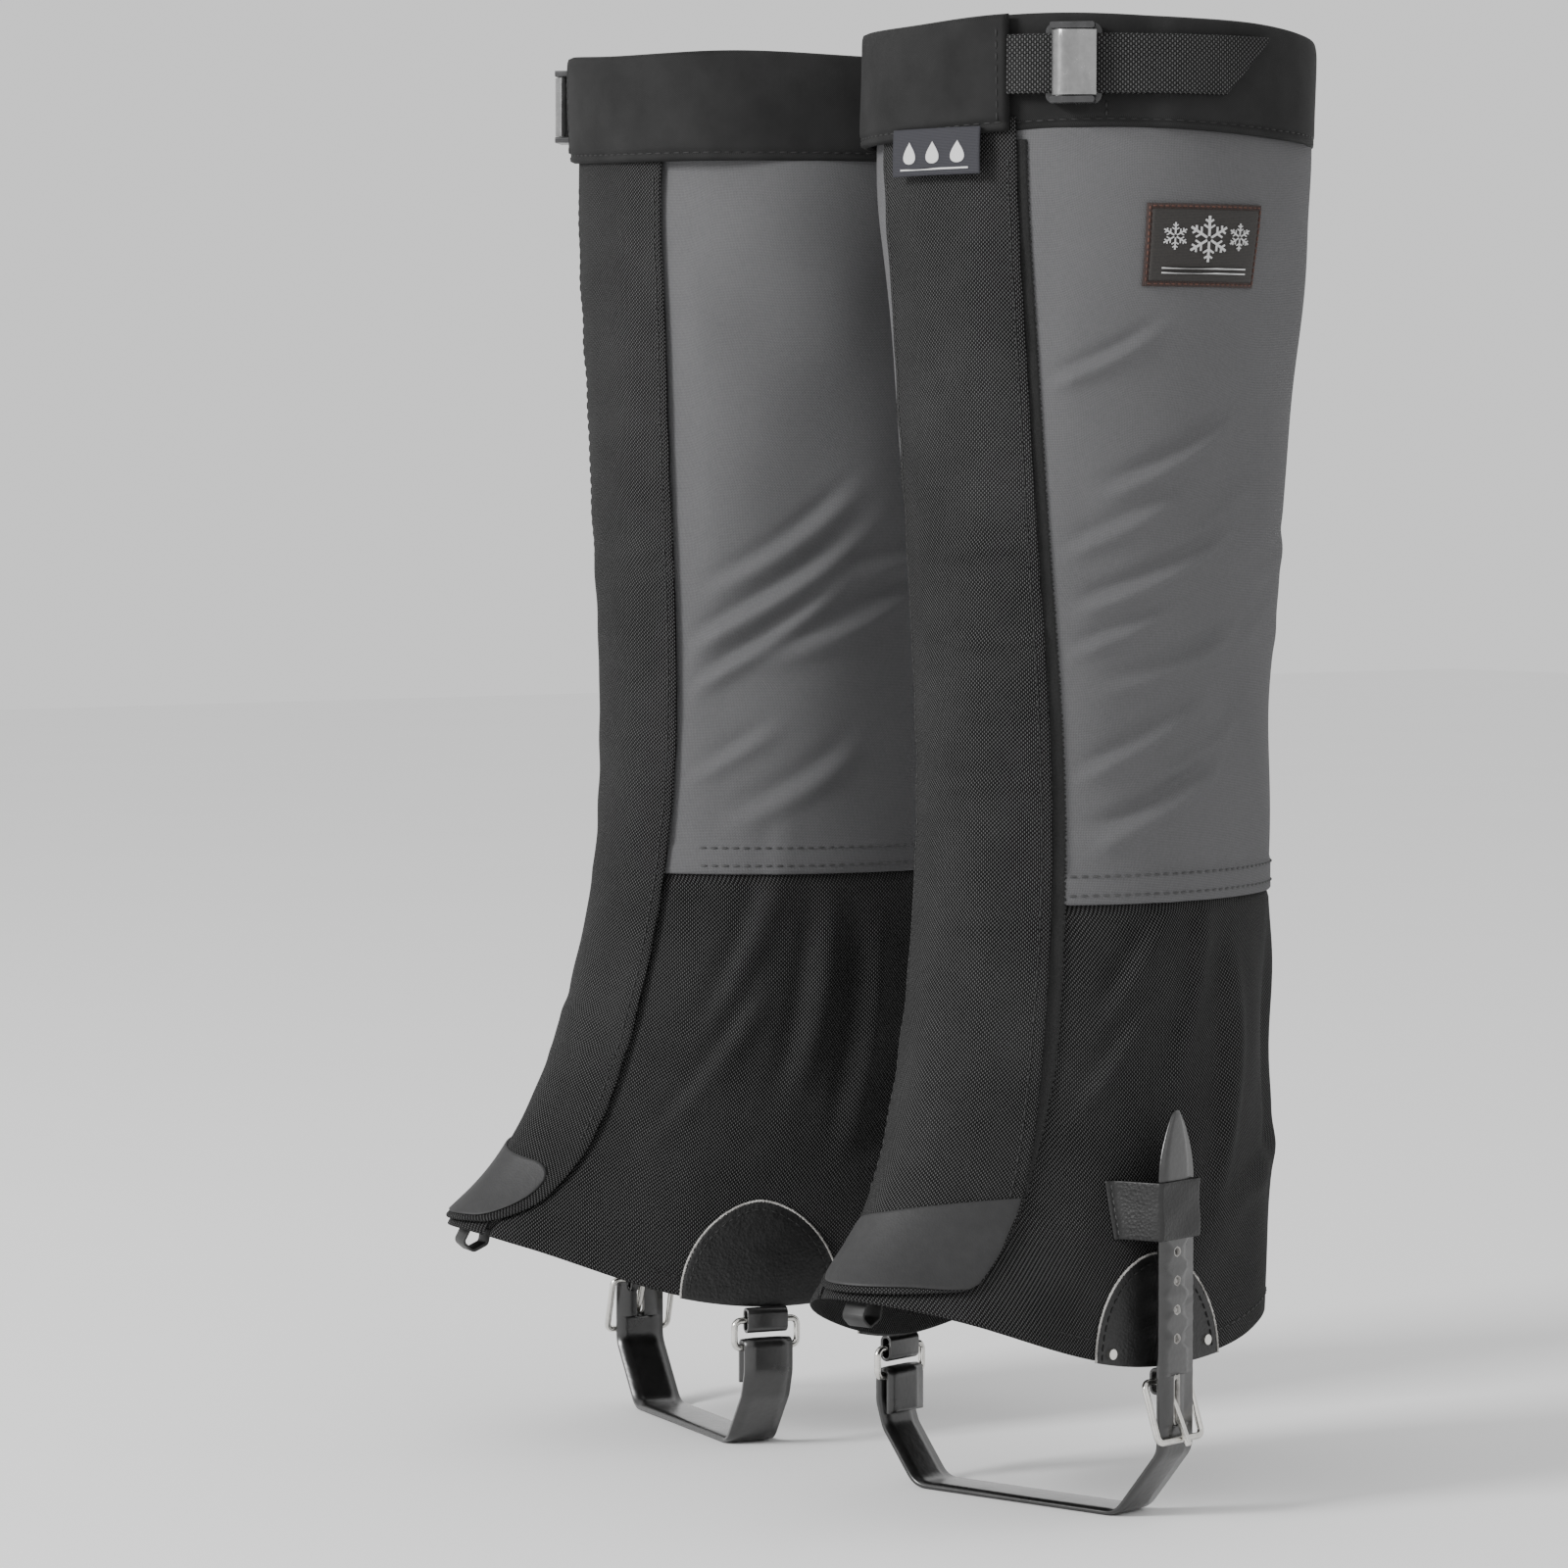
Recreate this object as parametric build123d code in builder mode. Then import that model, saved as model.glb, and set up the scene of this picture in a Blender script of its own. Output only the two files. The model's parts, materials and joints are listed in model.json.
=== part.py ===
"""A pair of knee-high gaiters, worn height above a boot, in millimetres.

The pair's frame: origin midway between the gaiters at the level of the instep straps' underside,
+Z up, toes towards -Y, the wearer's left towards +X.
Each piece is drawn once in the left gaiter's own frame (+X lateral, leg axis on Z), then placed
beside the origin with the toes turned out, and mirrored for the right gaiter.
"""
from build123d import *
from functools import cache
from math import cos, pi, radians, sin
import os

# Driving dimensions of the pair
LEG_SPACING = 178  # from one leg axis to the other
TOE_OUT = 13  # degrees that each foot turns outwards

# Heights above the underside of the instep strap
SIDE_HEM = 54
HEEL_HEM = 61
TAB_TIP = 84
PANEL_SEAM = 212
COLLAR_BOTTOM = 472
COLLAR_TOP = 511

# Cloth layers, outwards from the outer face of the panels
CLOTH = 1.4
LOOP_TAPE = (0.2, 1.0)
HOOK_TAPE = (1.2, 1.9)
FLAP = (2.1, 3.3)
TOE_PATCH = (3.3, 4.2)
SEW_ON = (0.0, 1.0)  # labels and patches sewn on a panel

# The leg shape: height, half width, reach forward, reach back, pinch of the shin ridge
STATIONS = (
    (38, 58, 172, 66, 0.20),
    (90, 57, 128, 69, 0.25),
    (125, 55, 101, 72, 0.32),
    (160, 53.5, 86, 75, 0.18),
    (PANEL_SEAM, 52.5, 73, 77, 0.04),
    (263, 52, 70, 78, 0.0),
    (314, 56, 71, 78, 0.0),
    (365, 63, 72.5, 77.5, 0.0),
    (420, 70, 74.5, 76.5, 0.0),
    (COLLAR_BOTTOM, 75.5, 75.5, 75.5, 0.0),
)
SECTION_POINTS = 20

# Front flap, a straight-sided strip in front view, and the slit that it covers
MEDIAL_EDGE = (-38, -24)  # x at the collar, x at the tab's tip
LATERAL_EDGE = (22.5, 32)
SLIT_WIDTH = 1.2
SLIT_INSET = 7  # from the flap's medial edge
TAPE_WIDTH = 24
TAPE_BOTTOM = TAB_TIP + 14
TAPE_SHOW = 3  # loop tape that shows beyond the flap's lateral edge
FLAP_SPLIT = 236  # where the toe flap leaves the fastened upper flap

# Collar, its overlapping end and its webbing
COLLAR_RADIUS = 77.5
COLLAR_THICKNESS = 3
COLLAR_END_ARC = (-36, 16)  # degrees from the front towards lateral
COLLAR_END_LAYER = (0.3, 4.8)
WEBBING = 20
WEBBING_THICKNESS = 1.2
WEBBING_HEIGHT = 496
STRAP_RADIUS = 81.1
STRAP_POCKET = 0.4  # clearance of the webbing in the collar end
STRAP_ARC = (4, 84)
TAIL_CUT = 20  # how much shorter the tail's lower edge is
ANCHOR_ARC = (27, 50)

# Cam buckle, in a plane that faces outwards from the collar
BUCKLE_ANGLE = 32
BUCKLE_LENGTH = 19
BUCKLE_HEIGHT = 27
EAR = 2.2
PLATE = 1.1
PIVOT_RADIUS = 1.5
PIVOT_CLEARANCE = 0.06
PIVOT_HEIGHT = 5.9  # above the back of the buckle's plate
PIVOT_OFFSET = -4.5
LEVER_LENGTH = 16

# Labels
FRONT_LABEL = (40, 16, 0.7)
FRONT_LABEL_ANGLE = -4
FRONT_LABEL_TOP = 475.5
SIDE_LABEL = (45, 28)
SIDE_LABEL_ANGLE = 68
SIDE_LABEL_HEIGHT = 435.5

# Instep strap and what holds it
STRAP_Y = -35
STRAP_WIDTH = 19
STRAP_THICKNESS = 2
STRAP_OUT = 63.4  # the strap's outer face on the lateral side
STRAP_TIP = 141
HOLE_PITCH = 10
HOLE = 3.4
HOLE_COUNT = 4
PATCH_HALF_WIDTH = 30
PATCH_HEIGHT = 37
KEEPER = (34, 20)
KEEPER_HEIGHT = 107
KEEPER_CLOTH = 1.2
WIRE = 2.4
BAR_OUT = 58.5  # how far out the two bars hang that the stirrup swings on
SWING_HEIGHT = 48  # of those bars
FRAME_WIDTH = 25
FRAME_DROP = 20
RING_DROP = 10
WIRE_CLEARANCE = 0.06
PRONG = 2.0
LOOP_CLOTH = 1.2
LOOP_SLACK = 3.5
MEDIAL_LOOP_WIDTH = 16
LATERAL_LOOP_WIDTH = 3.2
LATERAL_LOOP_AT = 4.4  # each side of the prong
SWING_CLEARANCE = 0.5

# Lace hook
HOOK_WIDTH = 9
HOOK_SHEET = 1.0
RIVET_RADIUS = 1.8

FAR = 400  # larger than the gaiter, for cutting tools


def section_points(half_width, front, back, pinch, growth):
    """Points round one horizontal section, starting at the shin."""
    points = []
    for step in range(SECTION_POINTS):
        turn = 2 * pi * step / SECTION_POINTS
        forward = cos(turn)
        reach = (front if forward > 0 else back) + growth
        ridge = 1 - pinch * max(forward, 0) ** 2
        points.append(((half_width + growth) * sin(turn) * ridge, -reach * forward))
    return points


@cache
def leg_solid(growth):
    """The whole leg shape, grown outwards evenly."""
    with BuildPart() as leg:
        for height, half_width, front, back, pinch in STATIONS:
            with BuildSketch(Plane.XY.offset(height)):
                with BuildLine():
                    Spline(*section_points(half_width, front, back, pinch, growth), periodic=True)
                make_face()
        loft()
    return leg.part


@cache
def shell(inner, outer):
    """The cloth between two growths of the leg shape."""
    with BuildPart() as cloth:
        add(leg_solid(outer))
        add(leg_solid(inner), mode=Mode.SUBTRACT)
    return cloth.part


@cache
def above_hem():
    """Everything above the bottom edge, as a prism along X."""
    with BuildPart() as prism:
        with BuildSketch(Plane.YZ.offset(-FAR / 2)):
            with BuildLine():
                hem = Spline(
                    (-142, TAB_TIP - 2),
                    (-118, TAB_TIP - 8),
                    (-70, SIDE_HEM + 3),
                    (-30, SIDE_HEM),
                    (20, SIDE_HEM + 4),
                    (75, HEEL_HEM),
                )
                Polyline(hem @ 1, (FAR, HEEL_HEM), (FAR, FAR * 2), (-FAR, FAR * 2), (-FAR, TAB_TIP), hem @ 0)
            make_face()
        extrude(amount=FAR)
    return prism.part


def edge_at(height, edge, shift=0):
    """The x of one of the flap's straight edges at a height, moved sideways by a shift."""
    share = (height - TAB_TIP) / (COLLAR_BOTTOM - TAB_TIP)
    return edge[0] * share + edge[1] * (1 - share) + shift


def front_strip(from_edge, to_edge, low, high):
    """A prism along Y in front of the leg; each side is a flap edge and a shift from it."""
    with BuildPart() as prism:
        with BuildSketch(Plane.XZ):
            with BuildLine():
                Polyline(
                    (edge_at(low, *from_edge), low),
                    (edge_at(low, *to_edge), low),
                    (edge_at(high, *to_edge), high),
                    (edge_at(high, *from_edge), high),
                    close=True,
                )
            make_face()
        extrude(amount=FAR)
    return prism.part


def flap_hinge():
    """The line near its medial edge that the toe flap turns on: top point, bottom point."""
    top = Vector(edge_at(FLAP_SPLIT, MEDIAL_EDGE), -49, FLAP_SPLIT)
    bottom = Vector(edge_at(TAB_TIP, MEDIAL_EDGE), -98, TAB_TIP + 4)
    return top, bottom


def toe_side(gap):
    """The half space on the toe's side of the split, whose face is square to the flap's hinge."""
    top, bottom = flap_hinge()
    split = Plane(origin=top, z_dir=bottom - top)
    with BuildPart() as half:
        with BuildSketch(split.offset(gap)):
            Rectangle(FAR, FAR)
        extrude(amount=FAR)
    return half.part


def facing_out(angle, radius, height):
    """A plane on the collar: x along the webbing towards lateral, y up, z outwards."""
    turn = radians(angle)
    return Plane(
        origin=(radius * sin(turn), -radius * cos(turn), height),
        x_dir=(cos(turn), sin(turn), 0),
        z_dir=(sin(turn), -cos(turn), 0),
    )


def arc_band(inner, outer, low, high, arc):
    """A curved band about the leg axis between two angles from the front towards lateral."""
    section_plane = Plane(origin=(0, 0, 0), x_dir=(sin(radians(arc[0])), -cos(radians(arc[0])), 0),
                          z_dir=(-cos(radians(arc[0])), -sin(radians(arc[0])), 0))
    with BuildPart() as band:
        with BuildSketch(section_plane):
            with Locations(((inner + outer) / 2, (low + high) / 2)):
                Rectangle(outer - inner, high - low)
        revolve(axis=Axis.Z, revolution_arc=arc[1] - arc[0])
    return band.part


# The panels, a closed tube but for the slit under the flap
with BuildPart() as cloth_tube:
    add(shell(-CLOTH, 0))
    add(above_hem(), mode=Mode.INTERSECT)
    slit_edges = (MEDIAL_EDGE, SLIT_INSET), (MEDIAL_EDGE, SLIT_INSET + SLIT_WIDTH)
    add(front_strip(*slit_edges, 0, COLLAR_BOTTOM), mode=Mode.SUBTRACT)

with BuildPart() as upper_panel:
    add(cloth_tube.part)
    split(bisect_by=Plane.XY.offset(PANEL_SEAM))

with BuildPart() as lower_panel:
    add(cloth_tube.part)
    split(bisect_by=Plane.XY.offset(PANEL_SEAM), keep=Keep.BOTTOM)

with BuildPart() as collar:
    with BuildSketch(Plane.XY.offset(COLLAR_BOTTOM)):
        Circle(COLLAR_RADIUS)
        Circle(COLLAR_RADIUS - COLLAR_THICKNESS, mode=Mode.SUBTRACT)
    extrude(amount=COLLAR_TOP - COLLAR_BOTTOM)

# The collar's overlapping end, a casing that the webbing slides in
end_inner = COLLAR_RADIUS + COLLAR_END_LAYER[0]
end_outer = COLLAR_RADIUS + COLLAR_END_LAYER[1]
strap_low = WEBBING_HEIGHT - WEBBING / 2
strap_high = WEBBING_HEIGHT + WEBBING / 2
with BuildPart() as collar_end:
    add(arc_band(end_inner, end_outer, COLLAR_BOTTOM + 0.3, COLLAR_TOP, COLLAR_END_ARC))
    add(
        arc_band(
            STRAP_RADIUS - STRAP_POCKET,
            STRAP_RADIUS + WEBBING_THICKNESS + STRAP_POCKET,
            strap_low - STRAP_POCKET,
            strap_high + STRAP_POCKET,
            (STRAP_ARC[0] - 16, COLLAR_END_ARC[1] + 1),
        ),
        mode=Mode.SUBTRACT,
    )

# Hook-and-loop closure and the flap over it
with BuildPart() as loop_tape:
    add(shell(*LOOP_TAPE))
    tape_edges = (LATERAL_EDGE, -TAPE_WIDTH), (LATERAL_EDGE, TAPE_SHOW)
    add(front_strip(*tape_edges, TAPE_BOTTOM, COLLAR_BOTTOM - 1), mode=Mode.INTERSECT)

with BuildPart() as hook_band:
    add(shell(*HOOK_TAPE))
    tape_edges = (LATERAL_EDGE, -TAPE_WIDTH), (LATERAL_EDGE, -1)
    add(front_strip(*tape_edges, TAPE_BOTTOM, COLLAR_BOTTOM - 1), mode=Mode.INTERSECT)

with BuildPart() as hook_tape:
    add(hook_band.part)
    add(toe_side(-0.3), mode=Mode.SUBTRACT)

with BuildPart() as toe_hook_tape:
    add(hook_band.part)
    add(toe_side(0.3), mode=Mode.INTERSECT)

with BuildPart() as flap_band:
    add(shell(*FLAP))
    add(front_strip((MEDIAL_EDGE,), (LATERAL_EDGE,), TAB_TIP, COLLAR_BOTTOM - 0.5), mode=Mode.INTERSECT)

with BuildPart() as front_flap:
    add(flap_band.part)
    add(toe_side(-0.3), mode=Mode.SUBTRACT)

with BuildPart() as toe_flap:
    add(flap_band.part)
    add(toe_side(0.3), mode=Mode.INTERSECT)

with BuildPart() as toe_patch:
    add(shell(*TOE_PATCH))
    add(front_strip((MEDIAL_EDGE, 0.5), (LATERAL_EDGE, -0.5), TAB_TIP + 0.5, TAB_TIP + 26), mode=Mode.INTERSECT)

# Webbing, its anchor and the cam buckle
with BuildPart() as collar_strap:
    add(arc_band(STRAP_RADIUS, STRAP_RADIUS + WEBBING_THICKNESS, strap_low, strap_high, STRAP_ARC))
    tail = facing_out(STRAP_ARC[1], STRAP_RADIUS, WEBBING_HEIGHT)
    with BuildSketch(tail.offset(-20)):
        with BuildLine():
            Polyline((1, WEBBING / 2), (1, -WEBBING), (-TAIL_CUT, -WEBBING), (-TAIL_CUT, -WEBBING / 2),
                     close=True)
        make_face()
    extrude(amount=40, mode=Mode.SUBTRACT)

buckle_plane = facing_out(BUCKLE_ANGLE, STRAP_RADIUS, WEBBING_HEIGHT)
plate_back = -PLATE - 0.9
with BuildPart() as cam_frame:
    with BuildSketch(buckle_plane.offset(plate_back)):
        RectangleRounded(BUCKLE_LENGTH, BUCKLE_HEIGHT, 3)
    extrude(amount=PLATE)
    with BuildSketch(buckle_plane.offset(plate_back)):
        with Locations((0, BUCKLE_HEIGHT / 2 - EAR / 2), (0, -BUCKLE_HEIGHT / 2 + EAR / 2)):
            RectangleRounded(BUCKLE_LENGTH - 4, EAR, 0.8)
    extrude(amount=PIVOT_HEIGHT + 2.4)
    pivot = Plane(origin=buckle_plane.from_local_coords(Vector(PIVOT_OFFSET, 0, plate_back + PIVOT_HEIGHT)),
                  x_dir=buckle_plane.x_dir, z_dir=buckle_plane.y_dir)
    with BuildSketch(pivot.offset(-BUCKLE_HEIGHT)):
        Circle(PIVOT_RADIUS + PIVOT_CLEARANCE)
    extrude(amount=2 * BUCKLE_HEIGHT, mode=Mode.SUBTRACT)

lever_width = BUCKLE_HEIGHT - 2 * EAR - 0.8
with BuildPart() as cam_lever:
    with BuildSketch(pivot.offset(-lever_width / 2)):
        with BuildLine():
            Spline((-2.4, 0), (0, -2.5), (5, -3.1), (LEVER_LENGTH - 3.4, -1.2))
            Line((LEVER_LENGTH - 3.4, -1.2), (LEVER_LENGTH - 3.4, 1.0))
            Spline((LEVER_LENGTH - 3.4, 1.0), (5, -0.9), (1, 1.6), (-2.4, 0))
        make_face()
    extrude(amount=lever_width)
    with BuildSketch(pivot.offset(-BUCKLE_HEIGHT / 2)):
        Circle(PIVOT_RADIUS)
    extrude(amount=BUCKLE_HEIGHT)

with BuildPart() as buckle_anchor:
    add(arc_band(COLLAR_RADIUS + 0.2, COLLAR_RADIUS + 1.4, strap_low, strap_high, ANCHOR_ARC))

# Labels
label_plane = facing_out(FRONT_LABEL_ANGLE, COLLAR_RADIUS + COLLAR_END_LAYER[1] + 0.4,
                         FRONT_LABEL_TOP - FRONT_LABEL[1] / 2)
with BuildPart() as front_label:
    with BuildSketch(label_plane):
        Rectangle(FRONT_LABEL[0], FRONT_LABEL[1])
    extrude(amount=FRONT_LABEL[2])

with BuildPart() as side_label:
    add(shell(*SEW_ON))
    with BuildSketch(facing_out(SIDE_LABEL_ANGLE, 0, SIDE_LABEL_HEIGHT)):
        Rectangle(*SIDE_LABEL)
    extrude(amount=FAR, mode=Mode.INTERSECT)

# Half-moon patches, rivets, keeper and the strap's hardware
lateral = Plane(origin=(0, STRAP_Y, 0), x_dir=(0, 1, 0), z_dir=(1, 0, 0))
medial = Plane(origin=(0, STRAP_Y, 0), x_dir=(0, -1, 0), z_dir=(-1, 0, 0))


def half_moon(side):
    """A sewn-on patch with an arched top, on the side that the plane faces."""
    with BuildPart() as patch:
        add(shell(*SEW_ON))
        with BuildSketch(side):
            with BuildLine():
                arch = EllipticalCenterArc(
                    (0, SIDE_HEM), PATCH_HALF_WIDTH, PATCH_HEIGHT, start_angle=0, arc_size=180
                )
                Polyline(arch @ 1, (-PATCH_HALF_WIDTH, 0), (PATCH_HALF_WIDTH, 0), arch @ 0)
            make_face()
        extrude(amount=FAR, mode=Mode.INTERSECT)
        add(above_hem(), mode=Mode.INTERSECT)
    return patch.part


with BuildPart() as lateral_patch:
    add(half_moon(lateral))

with BuildPart() as medial_patch:
    add(half_moon(medial))

strap_in = STRAP_OUT - STRAP_THICKNESS
strap_middle = STRAP_OUT - STRAP_THICKNESS / 2
with BuildPart() as keeper:
    with BuildSketch(Plane.XY.offset(KEEPER_HEIGHT - KEEPER[1] / 2)):
        with Locations((strap_middle - 2, STRAP_Y)):
            RectangleRounded(STRAP_THICKNESS + 4.8 + 2 * KEEPER_CLOTH, KEEPER[0], 1.5)
        with Locations((strap_middle, STRAP_Y)):
            Rectangle(STRAP_THICKNESS + 0.8, STRAP_WIDTH + 3, mode=Mode.SUBTRACT)
    extrude(amount=KEEPER[1])
    add(leg_solid(0.3), mode=Mode.SUBTRACT)

with BuildPart() as strap_tail:
    with BuildSketch(lateral.offset(strap_in)):
        with BuildLine():
            Polyline(
                (-STRAP_WIDTH / 2, SWING_HEIGHT),
                (-STRAP_WIDTH / 2, STRAP_TIP - 18),
                (-3, STRAP_TIP),
                (3, STRAP_TIP),
                (STRAP_WIDTH / 2, STRAP_TIP - 18),
                (STRAP_WIDTH / 2, SWING_HEIGHT),
                close=True,
            )
        make_face()
        with Locations((0, SWING_HEIGHT)):
            Circle(STRAP_WIDTH / 2 + SWING_CLEARANCE, mode=Mode.SUBTRACT)
        first_hole = SWING_HEIGHT + STRAP_WIDTH / 2 + HOLE_PITCH / 2
        with Locations(*[(0, first_hole + HOLE_PITCH * count) for count in range(HOLE_COUNT)]):
            Circle(HOLE / 2, mode=Mode.SUBTRACT)
    extrude(amount=STRAP_THICKNESS)

# The strap's loop under the boot, from the lateral buckle round to the medial ring
ring_bar = SWING_HEIGHT - RING_DROP
with BuildPart() as instep_strap:
    with BuildSketch(Plane.XZ.offset(-STRAP_Y - STRAP_WIDTH / 2)):
        with BuildLine():
            route = FilletPolyline(
                (strap_middle, SWING_HEIGHT),
                (strap_middle, 24),
                (44, STRAP_THICKNESS / 2),
                (-44, STRAP_THICKNESS / 2),
                (-BAR_OUT, 24),
                (-BAR_OUT, ring_bar - WIRE),
                radius=9,
            )
            offset(route, amount=STRAP_THICKNESS / 2, side=Side.BOTH)
        make_face()
        with Locations((-BAR_OUT, ring_bar)):
            Circle(WIRE + 1)
            Circle(WIRE / 2 + WIRE_CLEARANCE, mode=Mode.SUBTRACT)
    extrude(amount=STRAP_WIDTH)
    with BuildSketch(lateral.offset(strap_in)):
        with Locations((0, SWING_HEIGHT)):
            Circle(STRAP_WIDTH / 2)
    extrude(amount=STRAP_THICKNESS)
    with BuildSketch(lateral.offset(strap_in - 1)):
        with Locations((0, SWING_HEIGHT - 6.2)):
            SlotOverall(19.5, HOLE, rotation=90)
    extrude(amount=STRAP_THICKNESS + 2, mode=Mode.SUBTRACT)


def wire_frame(top_out, bottom_out, drop, width):
    """A closed rounded frame of wire that hangs from its top bar."""
    middle = Vector((top_out + bottom_out) / 2, STRAP_Y, SWING_HEIGHT - drop / 2)
    rise = Vector(top_out - bottom_out, 0, drop)
    frame_plane = Plane(origin=middle, x_dir=(0, 1, 0), z_dir=Vector(0, 1, 0).cross(rise))
    with BuildPart() as frame:
        with BuildLine(frame_plane):
            route = FilletPolyline(
                (width / 2, rise.length / 2),
                (width / 2, -rise.length / 2),
                (-width / 2, -rise.length / 2),
                (-width / 2, rise.length / 2),
                radius=2.5,
                close=True,
            )
        with BuildSketch(Plane(origin=route @ 0, z_dir=route % 0)):
            Circle(WIRE / 2)
        sweep()
    return frame.part


rim_out = STRAP_OUT + WIRE / 2 + 0.3
with BuildPart() as buckle_frame:
    add(wire_frame(BAR_OUT, rim_out, FRAME_DROP, FRAME_WIDTH))

with BuildPart() as medial_ring:
    add(wire_frame(-BAR_OUT, -BAR_OUT, RING_DROP, FRAME_WIDTH))

# The prong: an eye round the top bar and a shank through the strap to the rim's outer face
shank_end = (rim_out + WIRE / 2 + PRONG / 2 + 1.0, SWING_HEIGHT - FRAME_DROP - 1)
with BuildPart() as buckle_prong:
    with BuildSketch(Plane.XZ.offset(-STRAP_Y - PRONG / 2)):
        with BuildLine():
            shank = Line((BAR_OUT, SWING_HEIGHT), shank_end)
            offset(shank, amount=PRONG / 2, side=Side.BOTH)
        make_face()
        with Locations((BAR_OUT, SWING_HEIGHT)):
            Circle(WIRE / 2 + 1.2)
            Circle(WIRE / 2 + WIRE_CLEARANCE, mode=Mode.SUBTRACT)
    extrude(amount=PRONG)


def hanging_loop(bar_out, width, along):
    """A folded loop that a wire bar hangs in, with slack for the bar to tilt."""
    inner_half = WIRE / 2 + 0.15
    with BuildPart() as loop:
        with BuildSketch(Plane.XZ.offset(-STRAP_Y - along - width / 2)):
            with Locations((bar_out, SWING_HEIGHT)):
                outer_size = 2 * (inner_half + LOOP_CLOTH), 2 * (LOOP_SLACK + LOOP_CLOTH)
                RectangleRounded(*outer_size, inner_half + LOOP_CLOTH - 0.1)
                RectangleRounded(2 * inner_half, 2 * LOOP_SLACK, inner_half - 0.1, mode=Mode.SUBTRACT)
        extrude(amount=width)
    return loop.part


with BuildPart() as medial_loop:
    add(hanging_loop(-BAR_OUT, MEDIAL_LOOP_WIDTH, 0))

with BuildPart() as buckle_loops:
    add(hanging_loop(BAR_OUT, LATERAL_LOOP_WIDTH, LATERAL_LOOP_AT))
    add(hanging_loop(BAR_OUT, LATERAL_LOOP_WIDTH, -LATERAL_LOOP_AT))

with BuildPart() as patch_rivets:
    for along in (-PATCH_HALF_WIDTH + 6, PATCH_HALF_WIDTH - 6):
        with BuildSketch(lateral.offset(50)):
            with Locations((along, SIDE_HEM + 5)):
                Circle(RIVET_RADIUS)
        extrude(amount=FAR / 10)
    add(shell(-CLOTH - 0.9, 2.0), mode=Mode.INTERSECT)
    add(shell(-CLOTH, SEW_ON[1]), mode=Mode.SUBTRACT)

# The hook that catches the bootlace, under the front edge of the cloth
with BuildPart() as lace_hook:
    with BuildSketch(Plane.YZ.offset(-HOOK_WIDTH / 2)):
        with BuildLine():
            bend = FilletPolyline(
                (-111.5, 100),
                (-124.5, 87),
                (-130, 80.5),
                (-133, 75),
                (-129, 71.5),
                (-123.5, 74),
                (-122.5, 79),
                radius=1.8,
            )
            offset(bend, amount=HOOK_SHEET / 2, side=Side.BOTH)
        make_face()
    extrude(amount=HOOK_WIDTH)

PIECES = {
    "upper_panel": upper_panel,
    "lower_panel": lower_panel,
    "collar": collar,
    "collar_end": collar_end,
    "collar_strap": collar_strap,
    "buckle_anchor": buckle_anchor,
    "cam_frame": cam_frame,
    "cam_lever": cam_lever,
    "loop_tape": loop_tape,
    "hook_tape": hook_tape,
    "front_flap": front_flap,
    "toe_flap": toe_flap,
    "toe_hook_tape": toe_hook_tape,
    "toe_patch": toe_patch,
    "front_label": front_label,
    "side_label": side_label,
    "lateral_patch": lateral_patch,
    "medial_patch": medial_patch,
    "patch_rivets": patch_rivets,
    "keeper": keeper,
    "strap_tail": strap_tail,
    "instep_strap": instep_strap,
    "buckle_frame": buckle_frame,
    "buckle_prong": buckle_prong,
    "buckle_loops": buckle_loops,
    "medial_loop": medial_loop,
    "medial_ring": medial_ring,
    "lace_hook": lace_hook,
}

os.makedirs("parts", exist_ok=True)
left_only = {"front_label"}
beside_origin = Location((LEG_SPACING / 2, 0, 0), (0, 0, TOE_OUT))
for name, piece in PIECES.items():
    left = piece.part.moved(beside_origin)
    left.label = f"left_{name}"
    export_step(left, f"parts/{left.label}.step")
    if name in left_only:
        continue
    right = left.mirror(Plane.YZ)
    right.label = f"right_{name}"
    export_step(right, f"parts/{right.label}.step")
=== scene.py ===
"""A pair of knee-high gaiters: cloth, webbing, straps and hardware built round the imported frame."""
import bpy
import bmesh
import json
import math
import numpy as np
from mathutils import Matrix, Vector
from mathutils.bvhtree import BVHTree


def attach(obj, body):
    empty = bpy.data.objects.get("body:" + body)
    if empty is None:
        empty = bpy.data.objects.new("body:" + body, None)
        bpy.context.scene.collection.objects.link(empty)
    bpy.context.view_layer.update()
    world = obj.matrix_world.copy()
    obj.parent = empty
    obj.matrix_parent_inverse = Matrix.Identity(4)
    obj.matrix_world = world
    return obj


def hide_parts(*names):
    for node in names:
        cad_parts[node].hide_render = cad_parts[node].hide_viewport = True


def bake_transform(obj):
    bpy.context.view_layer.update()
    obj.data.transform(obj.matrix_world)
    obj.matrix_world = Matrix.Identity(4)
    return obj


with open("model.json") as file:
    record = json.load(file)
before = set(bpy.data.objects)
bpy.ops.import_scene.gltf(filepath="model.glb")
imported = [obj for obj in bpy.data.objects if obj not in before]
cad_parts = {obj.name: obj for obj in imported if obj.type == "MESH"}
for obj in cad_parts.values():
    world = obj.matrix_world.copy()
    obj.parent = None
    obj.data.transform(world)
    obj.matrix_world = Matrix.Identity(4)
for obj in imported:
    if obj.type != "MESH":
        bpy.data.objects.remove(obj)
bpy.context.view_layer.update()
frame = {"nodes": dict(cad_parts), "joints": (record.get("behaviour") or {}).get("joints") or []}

MM = 0.001
SIDES = ("left", "right")
JOINTS = {joint["name"]: joint for joint in frame["joints"]}

# The left gaiter's own frame: leg axis on Z, toes towards -Y, lateral towards +X
LEG_AXIS = JOINTS["left_collar_strap_pull"]["pos_m"]
SWING_AXIS = JOINTS["left_stirrup_swing"]["axis"]
TOE_OUT = math.atan2(SWING_AXIS[1], SWING_AXIS[0])


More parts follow.
